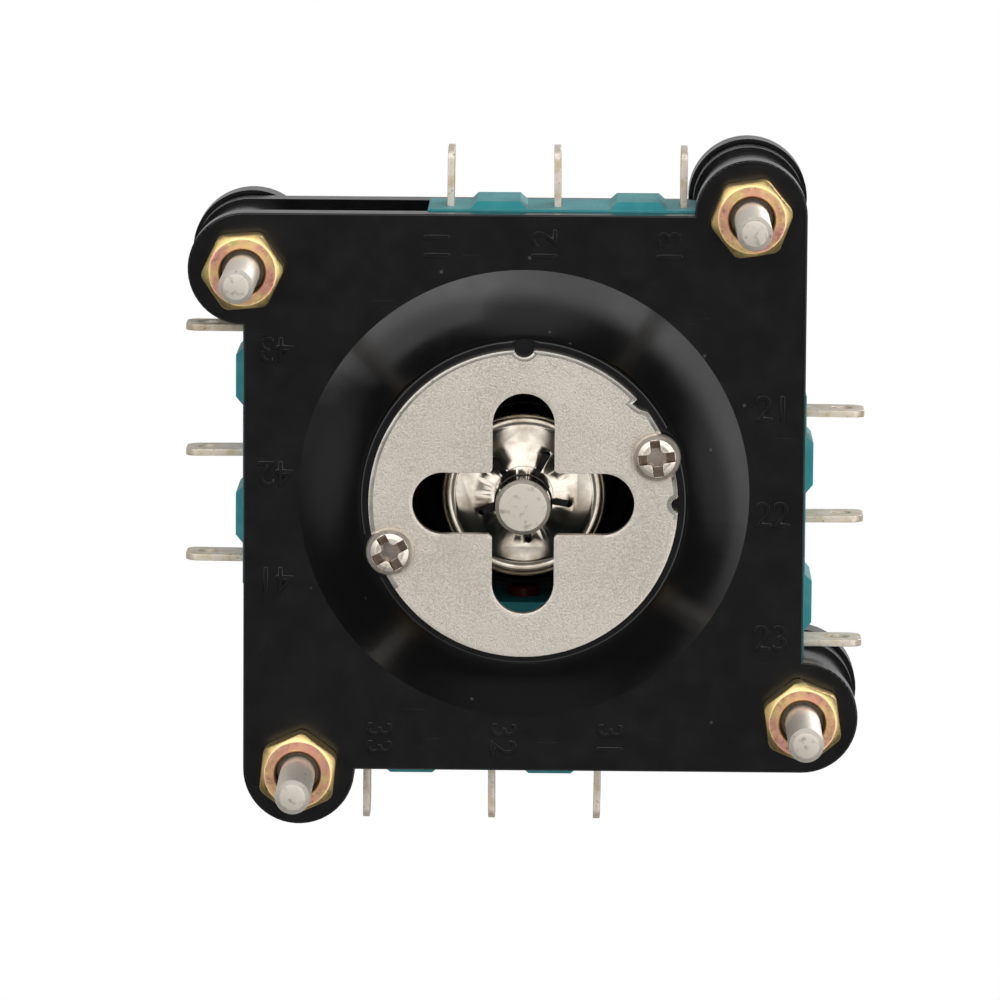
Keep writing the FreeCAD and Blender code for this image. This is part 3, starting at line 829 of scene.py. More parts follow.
@dataclass(frozen=True)
class PolishedChrome(Finish):
    """Chrome plate over a ground steel rod.

    The eye gets a nearly clean mirror with very faint turning lines and finger haze.
    """

    colour: str = "#DAD7D2"
    line_mm: float = 0.3
    haze_mm: float = 2.5

    def shade(self, tree: Tree, place: Node) -> dict[str, Any]:
        """Mirror metal with turning lines.

        Args:
            tree: the material's nodes.
            place: position on the object in millimetres.

        Returns:
            A value or a node for each of the shader's inputs.
        """
        squeezed = add_node(tree, "ShaderNodeMapping", {
            "Vector": place, "Scale": (0.2, 0.2, 1 / self.line_mm),
        })
        lines = add_node(tree, "ShaderNodeTexNoise", {"Vector": squeezed, "Scale": 1.0, "Detail": 2.0})
        haze = add_node(tree, "ShaderNodeTexNoise", {
            "Vector": place, "Scale": 1 / self.haze_mm, "Detail": 3.0,
        })
        rough = add_node(tree, "ShaderNodeMapRange", {
            "Value": haze, "From Min": 0.3, "From Max": 0.7, "To Min": 0.07, "To Max": 0.16,
        })
        bump = add_node(tree, "ShaderNodeBump", {"Strength": 0.08, "Distance": 0.02 * MM, "Height": lines})
        return {"Base Color": linear(self.colour), "Roughness": rough, "Normal": bump, "Metallic": 1.0}


@dataclass(frozen=True)
class BrushedEnd(Finish):
    """End face of a steel rod, faced off and plated.

    The eye gets a pale satin disc with soft worn spots that spread the light evenly.
    """

    colour: str = "#D3CCC0"
    worn: str = "#948C80"
    blotch_mm: float = 0.7
    rough: float = 0.52

    def shade(self, tree: Tree, place: Node) -> dict[str, Any]:
        """Satin metal with soft worn spots.

        Args:
            tree: the material's nodes.
            place: position on the object in millimetres.

        Returns:
            A value or a node for each of the shader's inputs.
        """
        blotch = add_node(tree, "ShaderNodeTexNoise", {
            "Vector": place, "Scale": 1 / self.blotch_mm, "Detail": 5.0,
        })
        share = add_node(tree, "ShaderNodeMapRange", {
            "Value": blotch, "From Min": 0.55, "From Max": 0.72, "To Min": 0.0, "To Max": 0.7,
        })
        tone = add_node(tree, "ShaderNodeMix", {
            0: share, 6: linear(self.colour), 7: linear(self.worn),
        }, data_type="RGBA")
        bump = add_node(tree, "ShaderNodeBump", {"Strength": 0.3, "Distance": 0.03 * MM, "Height": blotch})
        return {"Base Color": tone, "Normal": bump, "Roughness": self.rough, "Metallic": 1.0}


@dataclass(frozen=True)
class BrightWasher(Finish):
    """Nickel-plated spring steel sheet, pressed bright.

    The eye gets a mirror with a warm cast, darker and browner in cloudy patches.
    """

    colour: str = "#D3CBBE"
    brown: str = "#8D7A66"
    haze_per_mm: float = 0.55

    def shade(self, tree: Tree, place: Node) -> dict[str, Any]:
        """Mirror metal with a brown haze.

        Args:
            tree: the material's nodes.
            place: position on the object in millimetres.

        Returns:
            A value or a node for each of the shader's inputs.
        """
        haze = add_node(tree, "ShaderNodeTexNoise", {
            "Vector": place, "Scale": self.haze_per_mm, "Detail": 4.0,
        })
        share = add_node(tree, "ShaderNodeMapRange", {
            "Value": haze, "From Min": 0.45, "From Max": 0.7, "To Min": 0.0, "To Max": 0.55,
        })
        tone = add_node(tree, "ShaderNodeMix", {
            0: share, 6: linear(self.colour), 7: linear(self.brown),
        }, data_type="RGBA")
        rough = add_node(tree, "ShaderNodeMapRange", {
            "Value": haze, "From Min": 0.3, "From Max": 0.7, "To Min": 0.12, "To Max": 0.22,
        })
        return {"Base Color": tone, "Roughness": rough, "Metallic": 1.0}


@dataclass(frozen=True)
class TealPlastic(Finish):
    """Glass-filled polyester switch case, moulded satin in teal.

    The eye gets an even blue-green with a fine grain and slightly paler rubbed spots.
    """

    colour: str = "#279299"
    pale: str = "#5CABAD"
    grain_mm: float = 0.3
    rubs_per_mm: float = 0.45

    def shade(self, tree: Tree, place: Node) -> dict[str, Any]:
        """Teal body with rubbed spots and moulded grain.

        Args:
            tree: the material's nodes.
            place: position on the object in millimetres.

        Returns:
            A value or a node for each of the shader's inputs.
        """
        grain = add_node(tree, "ShaderNodeTexNoise", {
            "Vector": place, "Scale": 1 / self.grain_mm, "Detail": 2.0,
        })
        rubbed = add_node(tree, "ShaderNodeTexNoise", {
            "Vector": place, "Scale": self.rubs_per_mm, "Detail": 4.0,
        })
        share = add_node(tree, "ShaderNodeMapRange", {
            "Value": rubbed, "From Min": 0.5, "From Max": 0.75, "To Min": 0.0, "To Max": 0.5,
        })
        tone = add_node(tree, "ShaderNodeMix", {
            0: share, 6: linear(self.colour), 7: linear(self.pale),
        }, data_type="RGBA")
        rough = add_node(tree, "ShaderNodeMapRange", {
            "Value": grain, "From Min": 0.3, "From Max": 0.7, "To Min": 0.38, "To Max": 0.5,
        })
        bump = add_node(tree, "ShaderNodeBump", {"Strength": 0.2, "Distance": 0.02 * MM, "Height": grain})
        return {"Base Color": tone, "Roughness": rough, "Normal": bump, "IOR": 1.55}


@dataclass(frozen=True)
class TinnedBrass(Finish):
    """Tin-plated brass strip, stamped into blades.

    The eye gets a warm dull silver, yellower where the plating is thin, with mottled stamping marks.
    """

    tin: str = "#E6DACA"
    brass: str = "#D2BF9C"
    dirt: str = "#5E4E3C"
    thin_per_mm: float = 0.7
    marks_per_mm: float = 3.0
    metallic: float = 0.35

    def shade(self, tree: Tree, place: Node) -> dict[str, Any]:
        """Tin with brass showing and stamping dirt.

        Args:
            tree: the material's nodes.
            place: position on the object in millimetres.

        Returns:
            A value or a node for each of the shader's inputs.
        """
        thin = add_node(tree, "ShaderNodeTexNoise", {
            "Vector": place, "Scale": self.thin_per_mm, "Detail": 5.0,
        })
        marks = add_node(tree, "ShaderNodeTexNoise", {
            "Vector": place, "Scale": self.marks_per_mm, "Detail": 3.0,
        })
        share = add_node(tree, "ShaderNodeMapRange", {"Value": thin, "From Min": 0.46, "From Max": 0.66})
        dark = add_node(tree, "ShaderNodeMapRange", {
            "Value": marks, "From Min": 0.6, "From Max": 0.75, "To Min": 0.0, "To Max": 0.7,
        })
        tone: Any = linear(self.tin)
        for part, colour in ((share, self.brass), (dark, self.dirt)):
            tone = add_node(tree, "ShaderNodeMix", {0: part, 6: tone, 7: linear(colour)}, data_type="RGBA")
        rough = add_node(tree, "ShaderNodeMapRange", {
            "Value": marks, "From Min": 0.3, "From Max": 0.7, "To Min": 0.28, "To Max": 0.45,
        })
        bump = add_node(tree, "ShaderNodeBump", {"Strength": 0.3, "Distance": 0.04 * MM, "Height": marks})
        return {"Base Color": tone, "Roughness": rough, "Normal": bump, "Metallic": self.metallic}


@dataclass(frozen=True)
class PlainFinish(Finish):
    """A metal or non-metal with one tone and a fine surface noise, the base of the inner parts' finishes."""

    colour: str = "#808080"
    low_rough: float = 0.4
    high_rough: float = 0.55
    noise_mm: float = 0.5
    height_mm: float = 0.02
    metallic: float = 0.0

    def shade(self, tree: Tree, place: Node) -> dict[str, Any]:
        """One tone, with noise in value, roughness and bump.

        Args:
            tree: the material's nodes.
            place: position on the object in millimetres.

        Returns:
            A value or a node for each of the shader's inputs.
        """
        noise = add_node(tree, "ShaderNodeTexNoise", {
            "Vector": place, "Scale": 1 / self.noise_mm, "Detail": 4.0,
        })
        base = linear(self.colour)
        darker = tuple(c * 0.72 for c in base[:3]) + (1.0,)
        tone = add_node(tree, "ShaderNodeMix", {0: noise, 6: darker, 7: base}, data_type="RGBA")
        rough = add_node(tree, "ShaderNodeMapRange", {
            "Value": noise, "From Min": 0.3, "From Max": 0.7,
            "To Min": self.low_rough, "To Max": self.high_rough,
        })
        bump = add_node(tree, "ShaderNodeBump", {
            "Strength": 0.3, "Distance": self.height_mm * MM, "Height": noise,
        })
        return {"Base Color": tone, "Roughness": rough, "Normal": bump, "Metallic": self.metallic}


@dataclass(frozen=True)
class DrawnSpringSteel(PlainFinish):
    """Cold-drawn spring wire: grey steel with a silky, slightly streaked shine."""

    colour: str = "#A3A19C"
    low_rough: float = 0.22
    high_rough: float = 0.4
    noise_mm: float = 0.4
    metallic: float = 1.0


@dataclass(frozen=True)
class RedButton(PlainFinish):
    """Acetal plunger dyed red, darkened with painted shade for its place deep in the housing: waxy, even and
    slightly soft in its highlights.
    """

    # Painted shade: a darker red stands in for the shade the plungers sit in
    colour: str = "#6E1A16"
    low_rough: float = 0.3
    high_rough: float = 0.42


@dataclass(frozen=True)
class PaintedShadeAcetal(PlainFinish):
    """Turned acetal bearing parts, coloured black as painted shade for the dark inside of the housing, with
    a low waxy sheen.
    """

    # Painted shade: black stands in for the shade inside the housing, seen through the washer's slits
    colour: str = "#121213"
    low_rough: float = 0.3
    high_rough: float = 0.45
    noise_mm: float = 1.2


@dataclass(frozen=True)
class BootRubber(PlainFinish):
    """Moulded nitrile rubber: charcoal black, matt, with a dusty fine grain."""

    colour: str = "#1B1B1C"
    low_rough: float = 0.55
    high_rough: float = 0.75
    noise_mm: float = 0.35
    height_mm: float = 0.05


@dataclass(frozen=True)
class PhenolicKnob(PlainFinish):
    """Compression-moulded phenolic ball, polished: wet-looking black with a barely wavy surface."""

    colour: str = "#0B0B0C"
    low_rough: float = 0.1
    high_rough: float = 0.18
    noise_mm: float = 4.0
    height_mm: float = 0.03


# What repeats: copies round the lever, and the spring's coils


@dataclass
class SizedTree:
    """A Geometry Nodes tree with named inputs for its sizes. Subclasses make its middle."""

    name: str
    finish: Finish

    def sizes(self) -> dict[str, float]:
        """Gives the value of each named input, in metres and radians."""
        raise NotImplementedError

    def middle(self, tree: Tree, given: Node) -> Node:
        """Makes the nodes between the inputs and the last steps.

        Args:
            tree: the tree.
            given: its inputs.

        Returns:
            The node that gives the shape.
        """
        raise NotImplementedError

    def tree(self) -> Tree:
        """Builds the tree.

        Returns:
            A tree that ends in plain geometry with its material.
        """
        tree = bpy.data.node_groups.new(self.name, "GeometryNodeTree")
        sockets = [("Geometry", "INPUT", "NodeSocketGeometry")]
        for name, value in self.sizes().items():
            sockets.append((name, "INPUT", "NodeSocketInt" if isinstance(value, int) else "NodeSocketFloat"))
        for name, side, kind in sockets + [("Geometry", "OUTPUT", "NodeSocketGeometry")]:
            tree.interface.new_socket(name, in_out=side, socket_type=kind)
        shape = self.middle(tree, add_node(tree, "NodeGroupInput"))
        real = add_node(tree, "GeometryNodeRealizeInstances", {0: shape})
        coat = add_node(tree, "GeometryNodeSetMaterial", {
            "Geometry": real, "Material": self.finish.material(),
        })
        add_node(tree, "NodeGroupOutput", {"Geometry": coat})
        return tree

    def apply(self, piece: Piece) -> Piece:
        """Turns a piece into the plain mesh that the tree makes of it.

        Args:
            piece: mesh object, changed in place.

        Returns:
            The same piece.
        """
        tree, sizes = self.tree(), self.sizes()
        modifier = piece.modifiers.new(self.name, "NODES")
        modifier.node_group = tree
        for item in tree.interface.items_tree:
            if item.in_out == "INPUT" and item.name in sizes:
                modifier[item.identifier] = sizes[item.name]
        bake_modifiers(piece)
        return piece


@dataclass
class RingOfCopies(SizedTree):
    """Sets copies of a mesh on a ring round the lever's axis and spins each one; angles are in degrees."""

    radius: float = 0.0
    first_angle: float = 0.0
    spins: Sequence[float] = (0.0, 0.0, 0.0, 0.0)

    def sizes(self) -> dict[str, float]:
        """Lists the ring's sizes.

        Returns:
            The count, the ring's radius and first angle, and one spin for each copy.
        """
        sizes = {
            "Count": len(self.spins), "Ring Radius": self.radius * MM,
            "First Angle": math.radians(self.first_angle),
        }
        return sizes | {f"Spin {i + 1}": math.radians(spin) for i, spin in enumerate(self.spins)}

    def middle(self, tree: Tree, given: Node) -> Node:
        """Makes the nodes that place and spin the copies.

        Args:
            tree: the tree.
            given: its inputs.

        Returns:
            The node that gives the copies.
        """
        index = add_node(tree, "GeometryNodeInputIndex")
        share = add_node(tree, "ShaderNodeMath", {
            0: 2 * math.pi, 1: given.outputs["Count"],
        }, operation="DIVIDE")
        step = add_node(tree, "ShaderNodeMath", {0: index, 1: share}, operation="MULTIPLY")
        angle = add_node(tree, "ShaderNodeMath", {0: step, 1: given.outputs["First Angle"]}, operation="ADD")
        out = add_node(tree, "ShaderNodeCombineXYZ", {"X": given.outputs["Ring Radius"]})
        place = add_node(tree, "ShaderNodeVectorRotate", {
            "Vector": out, "Angle": angle,
        }, rotation_type="Z_AXIS")
        ring = add_node(tree, "GeometryNodePoints", {"Count": given.outputs["Count"], "Position": place})
        pick = add_node(tree, "GeometryNodeIndexSwitch", data_type="FLOAT")
        while len(pick.index_switch_items) < len(self.spins):
            pick.index_switch_items.new()
        tree.links.new(index.outputs[0], pick.inputs["Index"])
        for i in range(len(self.spins)):
            tree.links.new(given.outputs[f"Spin {i + 1}"], pick.inputs[i + 1])
        spin = add_node(tree, "ShaderNodeMath", {0: step, 1: pick}, operation="ADD")
        turn = add_node(tree, "ShaderNodeCombineXYZ", {"Z": spin})
        return add_node(tree, "GeometryNodeInstanceOnPoints", {
            "Points": ring, "Instance": given.outputs["Geometry"], "Rotation": turn,
        })


@dataclass
class WireCone(SizedTree):
    """Winds a conical coil spring."""

    low_r: float
    top_r: float
    height: float
    turns: float
    wire_r: float
    coil_steps: int = 40
    wire_steps: int = 14

    def sizes(self) -> dict[str, float]:
        """Lists the coil's sizes.

        Returns:
            The coil's radii, height and turns, and the wire's radius.
        """
        return {
            "Low Radius": self.low_r * MM, "Top Radius": self.top_r * MM, "Height": self.height * MM,
            "Turns": self.turns, "Wire Radius": self.wire_r * MM,
        }

    def middle(self, tree: Tree, given: Node) -> Node:
        """Makes the nodes that sweep the wire along its coil.

        Args:
            tree: the tree.
            given: its inputs.

        Returns:
            The node that gives the wire.
        """
        coil = add_node(tree, "GeometryNodeCurveSpiral", {
            "Resolution": self.coil_steps, "Rotations": given.outputs["Turns"],
            "Start Radius": given.outputs["Low Radius"], "End Radius": given.outputs["Top Radius"],
            "Height": given.outputs["Height"],
        })
        section = add_node(tree, "GeometryNodeCurvePrimitiveCircle", {
            "Resolution": self.wire_steps, "Radius": given.outputs["Wire Radius"],
        })
        return add_node(tree, "GeometryNodeCurveToMesh", {
            "Curve": coil, "Profile Curve": section, "Fill Caps": True,
        })

    def make(self, low_z: float) -> Piece:
        """Makes the spring.

        Args:
            low_z: height of the wire's middle at its lower end, in mm.

        Returns:
            The spring as a plain mesh.
        """
        piece = self.apply(object_from(self.name, bpy.data.meshes.new(self.name)))
        piece.data.transform(Matrix.Translation((0, 0, low_z * MM)))
        piece.data.polygons.foreach_set("use_smooth", [True] * len(piece.data.polygons))
        return piece


# Sub-assemblies


@dataclass
class BasePlate:
    """Lower moulded plate with its collar and raised terminal numbers."""

    edge: float = 0.06
    face_z: float = 15.5
    seat_z: float = 10.0
    neck_r: float = 15.4
    foot_r: float = 21.3
    rim_round: float = 0.35
    number_h: float = 2.4
    digit_share: float = 0.7
    number_relief: float = 0.08
    number_edge: float = 0.07
    number_row: float = 23.5
    number_places: tuple[float, ...] = (-8.2, 1.9, 13.7)

    def build(self) -> list[Piece]:
        """Builds the plate and its numbers.

        Returns:
            The plate, then the numbers as one mesh.
        """
        plate = softened("lower_plate", ["base_plate"], self.edge, 2, flat=False, first=self.round_rim)
        self.crease_foot(plate.data)
        flatten_shading(plate)
        digits = []
        for side in range(4):
            for place, x in enumerate(self.number_places):
                digits.append(self.number(f"{side + 1}{place + 1}", x, side))
        return [plate, joined("terminal_numbers", digits)]

    @staticmethod
    def on_circle(place: Vector, radius: float, z: float) -> bool:
        """Tells whether a point lies on a circle round the Z axis, with the radius and height in mm."""
        return abs(place.z / MM - z) < NEAR_MM and abs(place.xy.length / MM - radius) < NEAR_MM

    def crease_foot(self, mesh: Mesh) -> None:
        """Keeps the line crisp where the collar rises from the plate.

        Args:
            mesh: the plate's mesh, changed in place.
        """
        for edge in mesh.edges:
            ends = [mesh.vertices[i].co for i in edge.vertices]
            if all(self.on_circle(end, self.foot_r, self.face_z) for end in ends):
                edge.use_edge_sharp = True

    def round_rim(self, shape: Shape) -> None:
        """Gives the collar's outer rim, round the disc's seat, a wider rounding than the other edges.

        Args:
            shape: the plate's mesh, changed in place.
        """
        rim = [
            edge for edge in shape.edges
            if all(self.on_circle(vert.co, self.neck_r, self.seat_z) for vert in edge.verts)
        ]
        bmesh.ops.bevel(shape, geom=rim, offset=self.rim_round * MM, segments=3, profile=0.5, affect="EDGES")

    def number(self, text: str, x: float, side: int) -> Piece:
        """Makes one raised number.

        Args:
            text: the digits.
            x: place along the switch, from the lever's axis.
            side: 0 for switch 1, and so on round the lever.

        Returns:
            The number as a mesh on the plate's outer face.
        """
        curve = bpy.data.curves.new(f"number_{text}", "FONT")
        curve.body = text
        curve.align_x = "CENTER"
        curve.align_y = "CENTER"
        curve.size = self.number_h / self.digit_share * MM
        curve.extrude = self.number_relief * MM
        curve.bevel_depth = self.number_edge * MM
        curve.bevel_resolution = 1
        curve.resolution_u = 6
        mesh = mesh_of_curve(curve)
        reading = Matrix(((0, -1, 0), (-1, 0, 0), (0, 0, -1))).to_4x4()
        spot = Matrix.Translation((x * MM, -self.number_row * MM, self.face_z * MM))
        mesh.transform(Matrix.Rotation(side * QUARTER, 4, "Z") @ spot @ reading)
        return object_from(f"number_{text}", mesh)

    def dress(self, pieces: Sequence[Piece]) -> None:
        """Gives the plate and its numbers the black moulding.

        Args:
            pieces: what build made.
        """
        plate, numbers = pieces
        dress(plate, GlossMoulding(), Body.HOUSING, ["base_plate"])
        dress(numbers, GlossMoulding(), Body.HOUSING)


@dataclass
class CrossGate:
    """Punched disc with the cross slot, and its two cross-head screws."""

    disc_edge: float = 0.05
    roll_w: float = 0.42
    roll_h: float = 0.21
    roll_turn: float = -105.0
    roll_spread: float = 0.75
    roll_slopes: tuple[float, float] = (-0.985, -0.5)
    front_slope: float = -0.99
    slot_reach: float = 11.2
    face_z: float = 9.0
    screw_at_r: float = 13.25
    screw_angles: tuple[float, float] = (-20.0, 160.0)
    recess_turns: tuple[float, float] = (-7.0, -29.0)
    recess_reach: float = 1.75
    recess_half: float = 0.46
    recess_depth: float = 1.3
    recess_r: float = 1.85
    recess_levels: tuple[float, float] = (0.5, 1.4)
    recess_steep: float = 0.75
    head_dome: tuple[Point2, ...] = ((1.35, 0.03), (1.8, 0.2), (2.12, 0.55), (2.25, 0.95))
    head_edge: float = 0.05
    head_r: float = 2.25
    head_h: float = 1.5
    shank_r: float = 1.25
    shank_l: float = 4.6

    def build(self) -> list[Piece]:
        """Builds the disc and both screws.

        Returns:
            The disc, then the screws as one mesh.
        """
        disc = softened("gate_disc", ["gate_plate"], self.disc_edge, 2, first=self.roll_edge)
        top, end = self.face_z - self.head_h, self.face_z + self.shank_l
        profile = [(0.0, top)] + [(r, top + down) for r, down in self.head_dome] + [
            (self.head_r, self.face_z), (self.shank_r, self.face_z), (self.shank_r, end), (0.0, end),
        ]
        screw = turned("gate_screws", fillet(profile, [0, 0.2, 0.2, 0.2, 0.2, 0.06, 0, 0.1, 0], 3), 64)
        cut_away(screw, recess_cutter("recess", top, self.recess_reach, self.recess_half, self.recess_depth))
        rounded(screw, self.head_edge, 2, 35)
        spins = [turn - 180.0 * i for i, turn in enumerate(self.recess_turns)]
        ring = RingOfCopies("gate screw ring", TumbledScrew(), self.screw_at_r, self.screw_angles[0], spins)
        return [disc, ring.apply(screw)]

    def roll_edge(self, shape: Shape) -> None:
        """Draws the disc's outer edge down a little, most on the side where the punch met it first.

        Args:
            shape: the disc's mesh, changed in place.
        """
        front = [face for face in shape.faces if face.normal.z < self.front_slope]
        outer = {vert for face in front for vert in face.verts if vert.co.xy.length > self.slot_reach * MM}
        bmesh.ops.inset_region(shape, faces=front, thickness=self.roll_w * MM, use_even_offset=True)
        for vert in outer:
            turn = math.atan2(vert.co.y, vert.co.x) - math.radians(self.roll_turn)
            turn = math.remainder(turn, 2 * math.pi)
            vert.co.z += self.roll_h * math.sqrt(max(0.0, math.cos(self.roll_spread * turn))) * MM

    def dress(self, pieces: Sequence[Piece]) -> None:
        """Satin disc with a burnished edge, and tumbled screws with painted shade in their recesses.

        Args:
            pieces: what build made.
        """
        disc, screws = pieces
        dress(disc, SatinNickel(), Body.HOUSING, ["gate_plate"])
        coat_faces(disc, BrightNickel(), self.on_roll)
        dress(screws, TumbledScrew(), Body.HOUSING, ["gate_screw_1", "gate_screw_2"])
        # Painted shade: the recess faces get a darker, browner finish for the shade inside them
        coat_faces(screws, PaintedShadeRecess(), self.in_recess)

    def on_roll(self, centre: Vector, normal: Vector) -> bool:
        """Tells whether a face of the disc lies on its burnished, rolled-down edge."""
        low, high = self.roll_slopes
        return centre.xy.length > self.slot_reach and low < normal.z < high

    def in_recess(self, centre: Vector, normal: Vector) -> bool:
        """Tells whether a face of the screws lies inside a recess.

        Args:
            centre: the face's centre in mm.
            normal: its normal.

        Returns:
            True inside a recess.
        """
        deep = centre.z - (self.face_z - self.head_h)
        off = distance_from(centre, [math.radians(a) for a in self.screw_angles], self.screw_at_r)
        near, far = self.recess_levels
        return deep < far and off < self.recess_r and (deep > near or abs(normal.z) < self.recess_steep)


@dataclass
class CornerHardware:
    """Four long corner screws with their washers and hexagon nuts."""

    across: float = 26.5
    along: float = 21.2
    free: float = 12.3
    end_face: float = 0.02
    nut_h: float = 3.2
    nut_af: float = 6.9
    nut_face_r: float = 3.15
    nut_corner_r: float = 3.85
    nut_slope: float = 0.6
    nut_turns: tuple[float, ...] = (51.0, 52.0, 36.0, 25.5)
    nut_steps: int = 72
    nut_edge: float = 0.06
    bore_r: float = 2.06
    mouth_r: float = 2.28
    mouth_h: float = 0.24
    screw_r: float = 2.0
    screw_turns: tuple[float, ...] = (10.0, 55.0, 80.0, 30.0)
    pilot_r: float = 1.65
    pilot_in_nut: float = 1.4
    washer_z: float = 37.9
    washer_t: float = 0.8
    washer_r: float = 4.4
    washer_gap: float = 0.15
    washer_edge: float = 0.12
    head_r: float = 3.6
    head_h: float = 2.6
    recess_reach: float = 2.2
    recess_half: float = 0.55
    recess_depth: float = 1.9
    recess_r: float = 2.4
    recess_levels: tuple[float, float] = (0.5, 1.4)
    recess_steep: float = 0.5
    thread_pitch: float = 0.7
    thread_depth: float = 0.32

    def ring(self, name: str, finish: Finish, spins: Sequence[float] = (0.0, 0.0, 0.0, 0.0)) -> RingOfCopies:
        """The ring of the four corners, for one kind of piece."""
        first = math.degrees(math.atan2(-self.across, self.along))
        return RingOfCopies(name, finish, math.hypot(self.across, self.along), first, spins)

    def stud(self) -> Piece:
        """Makes one screw: free smooth end, threaded stretch through the nut, shank and cross-head.

        Returns:
            The screw, on the axis.
        """
        crest, root = self.screw_r, self.screw_r - self.thread_depth
        pilot, pitch = self.pilot_r, self.thread_pitch
        z = self.free + self.pilot_in_nut
        tip = [(0.0, 0.0), (1.05, 0.0), (1.2, 0.04), (pilot - 0.06, 0.42), (pilot, 0.6), (pilot, z - 0.1)]
        thread = []
        while z < self.free + self.nut_h:
            thread += [(root, z), (crest, z + pitch * 0.45), (crest, z + pitch * 0.6)]
            z += pitch
        under = self.washer_z + self.washer_t
        top = under + self.head_h
        head = [
            (self.screw_r, z), (self.screw_r, under), (self.head_r, under), (self.head_r, under + 1.0),
            (self.head_r - 0.35, under + 1.75), (self.head_r - 1.3, top - 0.2), (1.6, top), (0.0, top),
        ]
        stud = turned("corner_screws", tip + thread + head, 64)
        cutter = recess_cutter("head_recess", 0.0, self.recess_reach, self.recess_half, self.recess_depth)
        cutter.data.transform(Matrix.Translation((0, 0, top * MM)) @ Matrix.Rotation(math.pi, 4, "X"))
        cut_away(stud, cutter)
        smooth_by_angle(stud.data, 24)
        return stud

    def nut(self) -> Piece:
        """Makes one hexagon nut, chamfered on both faces, whose points hold their distance from the axis.

        Returns:
            The nut, on the axis.
        """
        low, top, steps = self.free, self.free + self.nut_h, self.nut_steps
        sides = [self.nut_af / 2 / math.cos((a % (math.pi / 3)) - math.pi / 6) for a in even_turns(steps)]
        reach = [min(side, self.nut_corner_r) for side in sides]
        drops = [(r - self.nut_face_r) * self.nut_slope for r in reach]
        rows = [
            [(self.nut_face_r, low)] * steps,
            [(r, low + drop) for r, drop in zip(reach, drops)],
            [(r, top - drop) for r, drop in zip(reach, drops)],
            [(self.nut_face_r, top)] * steps,
        ]
        bore = [(self.mouth_r, top), (self.bore_r, top - self.mouth_h), (self.bore_r, low + self.mouth_h)]
        rows += [[point] * steps for point in bore + [(self.mouth_r, low)]]
        shape = bmesh.new()
        nut = lofted("hex_nuts", shape, [ring_of(shape, row) for row in rows], closed=True)
        rounded(nut, self.nut_edge, 2, 24)
        layer = nut.data.attributes.new("from_axis", "FLOAT", "POINT")
        layer.data.foreach_set("value", [math.hypot(v.co.x, v.co.y) / MM for v in nut.data.vertices])
        return nut

    def build(self) -> list[Piece]:
        """Builds screws, nuts and washers.

        Returns:
            Three meshes of four copies each: screws, nuts, washers.
        """
        studs = self.ring("screw ring", RolledScrew(), self.screw_turns).apply(self.stud())
        nuts = self.ring("nut ring", YellowChromate(), self.nut_turns).apply(self.nut())
        low, top, hole = self.washer_z, self.washer_z + self.washer_t, self.screw_r + self.washer_gap
        profile = [(hole, low), (self.washer_r, low), (self.washer_r, top), (hole, top)]
        washer = turned("flat_washers", profile, 64, True)
        rounded(washer, self.washer_edge, 2)
        washers = self.ring("washer ring", BrightNickel()).apply(washer)
        return [studs, nuts, washers]

    def dress(self, pieces: Sequence[Piece]) -> None:
        """Nickel screws and washers, yellow nuts; painted shade in the screws' recesses and the nuts' bores.

        Args:
            pieces: what build made.
        """
        studs, nuts, washers = pieces
        dress(studs, RolledScrew(), Body.HOUSING, four("corner_screw"))
        coat_faces(studs, BrushedEnd(), lambda centre, normal: centre.z < self.end_face)
        coat_faces(studs, BrightNickel(), lambda centre, normal: centre.z > self.washer_z)
        # Painted shade: the recess faces get a darker, browner finish for the shade inside them
        coat_faces(studs, PaintedShadeRecess(), self.in_recess)
        # The nuts' finish paints shade into their bores
        dress(nuts, YellowChromate(), Body.HOUSING, four("hex_nut"))
        dress(washers, BrightNickel(), Body.HOUSING, four("screw_washer"))

    def in_recess(self, centre: Vector, normal: Vector) -> bool:
        """Tells whether a face of the screws lies inside a recess.

        Args:
            centre: the face's centre in mm.
            normal: its normal.

        Returns:
            True inside a recess.
        """
        first = math.atan2(-self.across, self.along)
        turns = [first + i * QUARTER for i in range(4)]
        off = distance_from(centre, turns, math.hypot(self.across, self.along))
        deep, (near, far) = centre.z - self.washer_z - self.washer_t, self.recess_levels
        return deep > near and off < self.recess_r and (deep < far or abs(normal.z) < self.recess_steep)


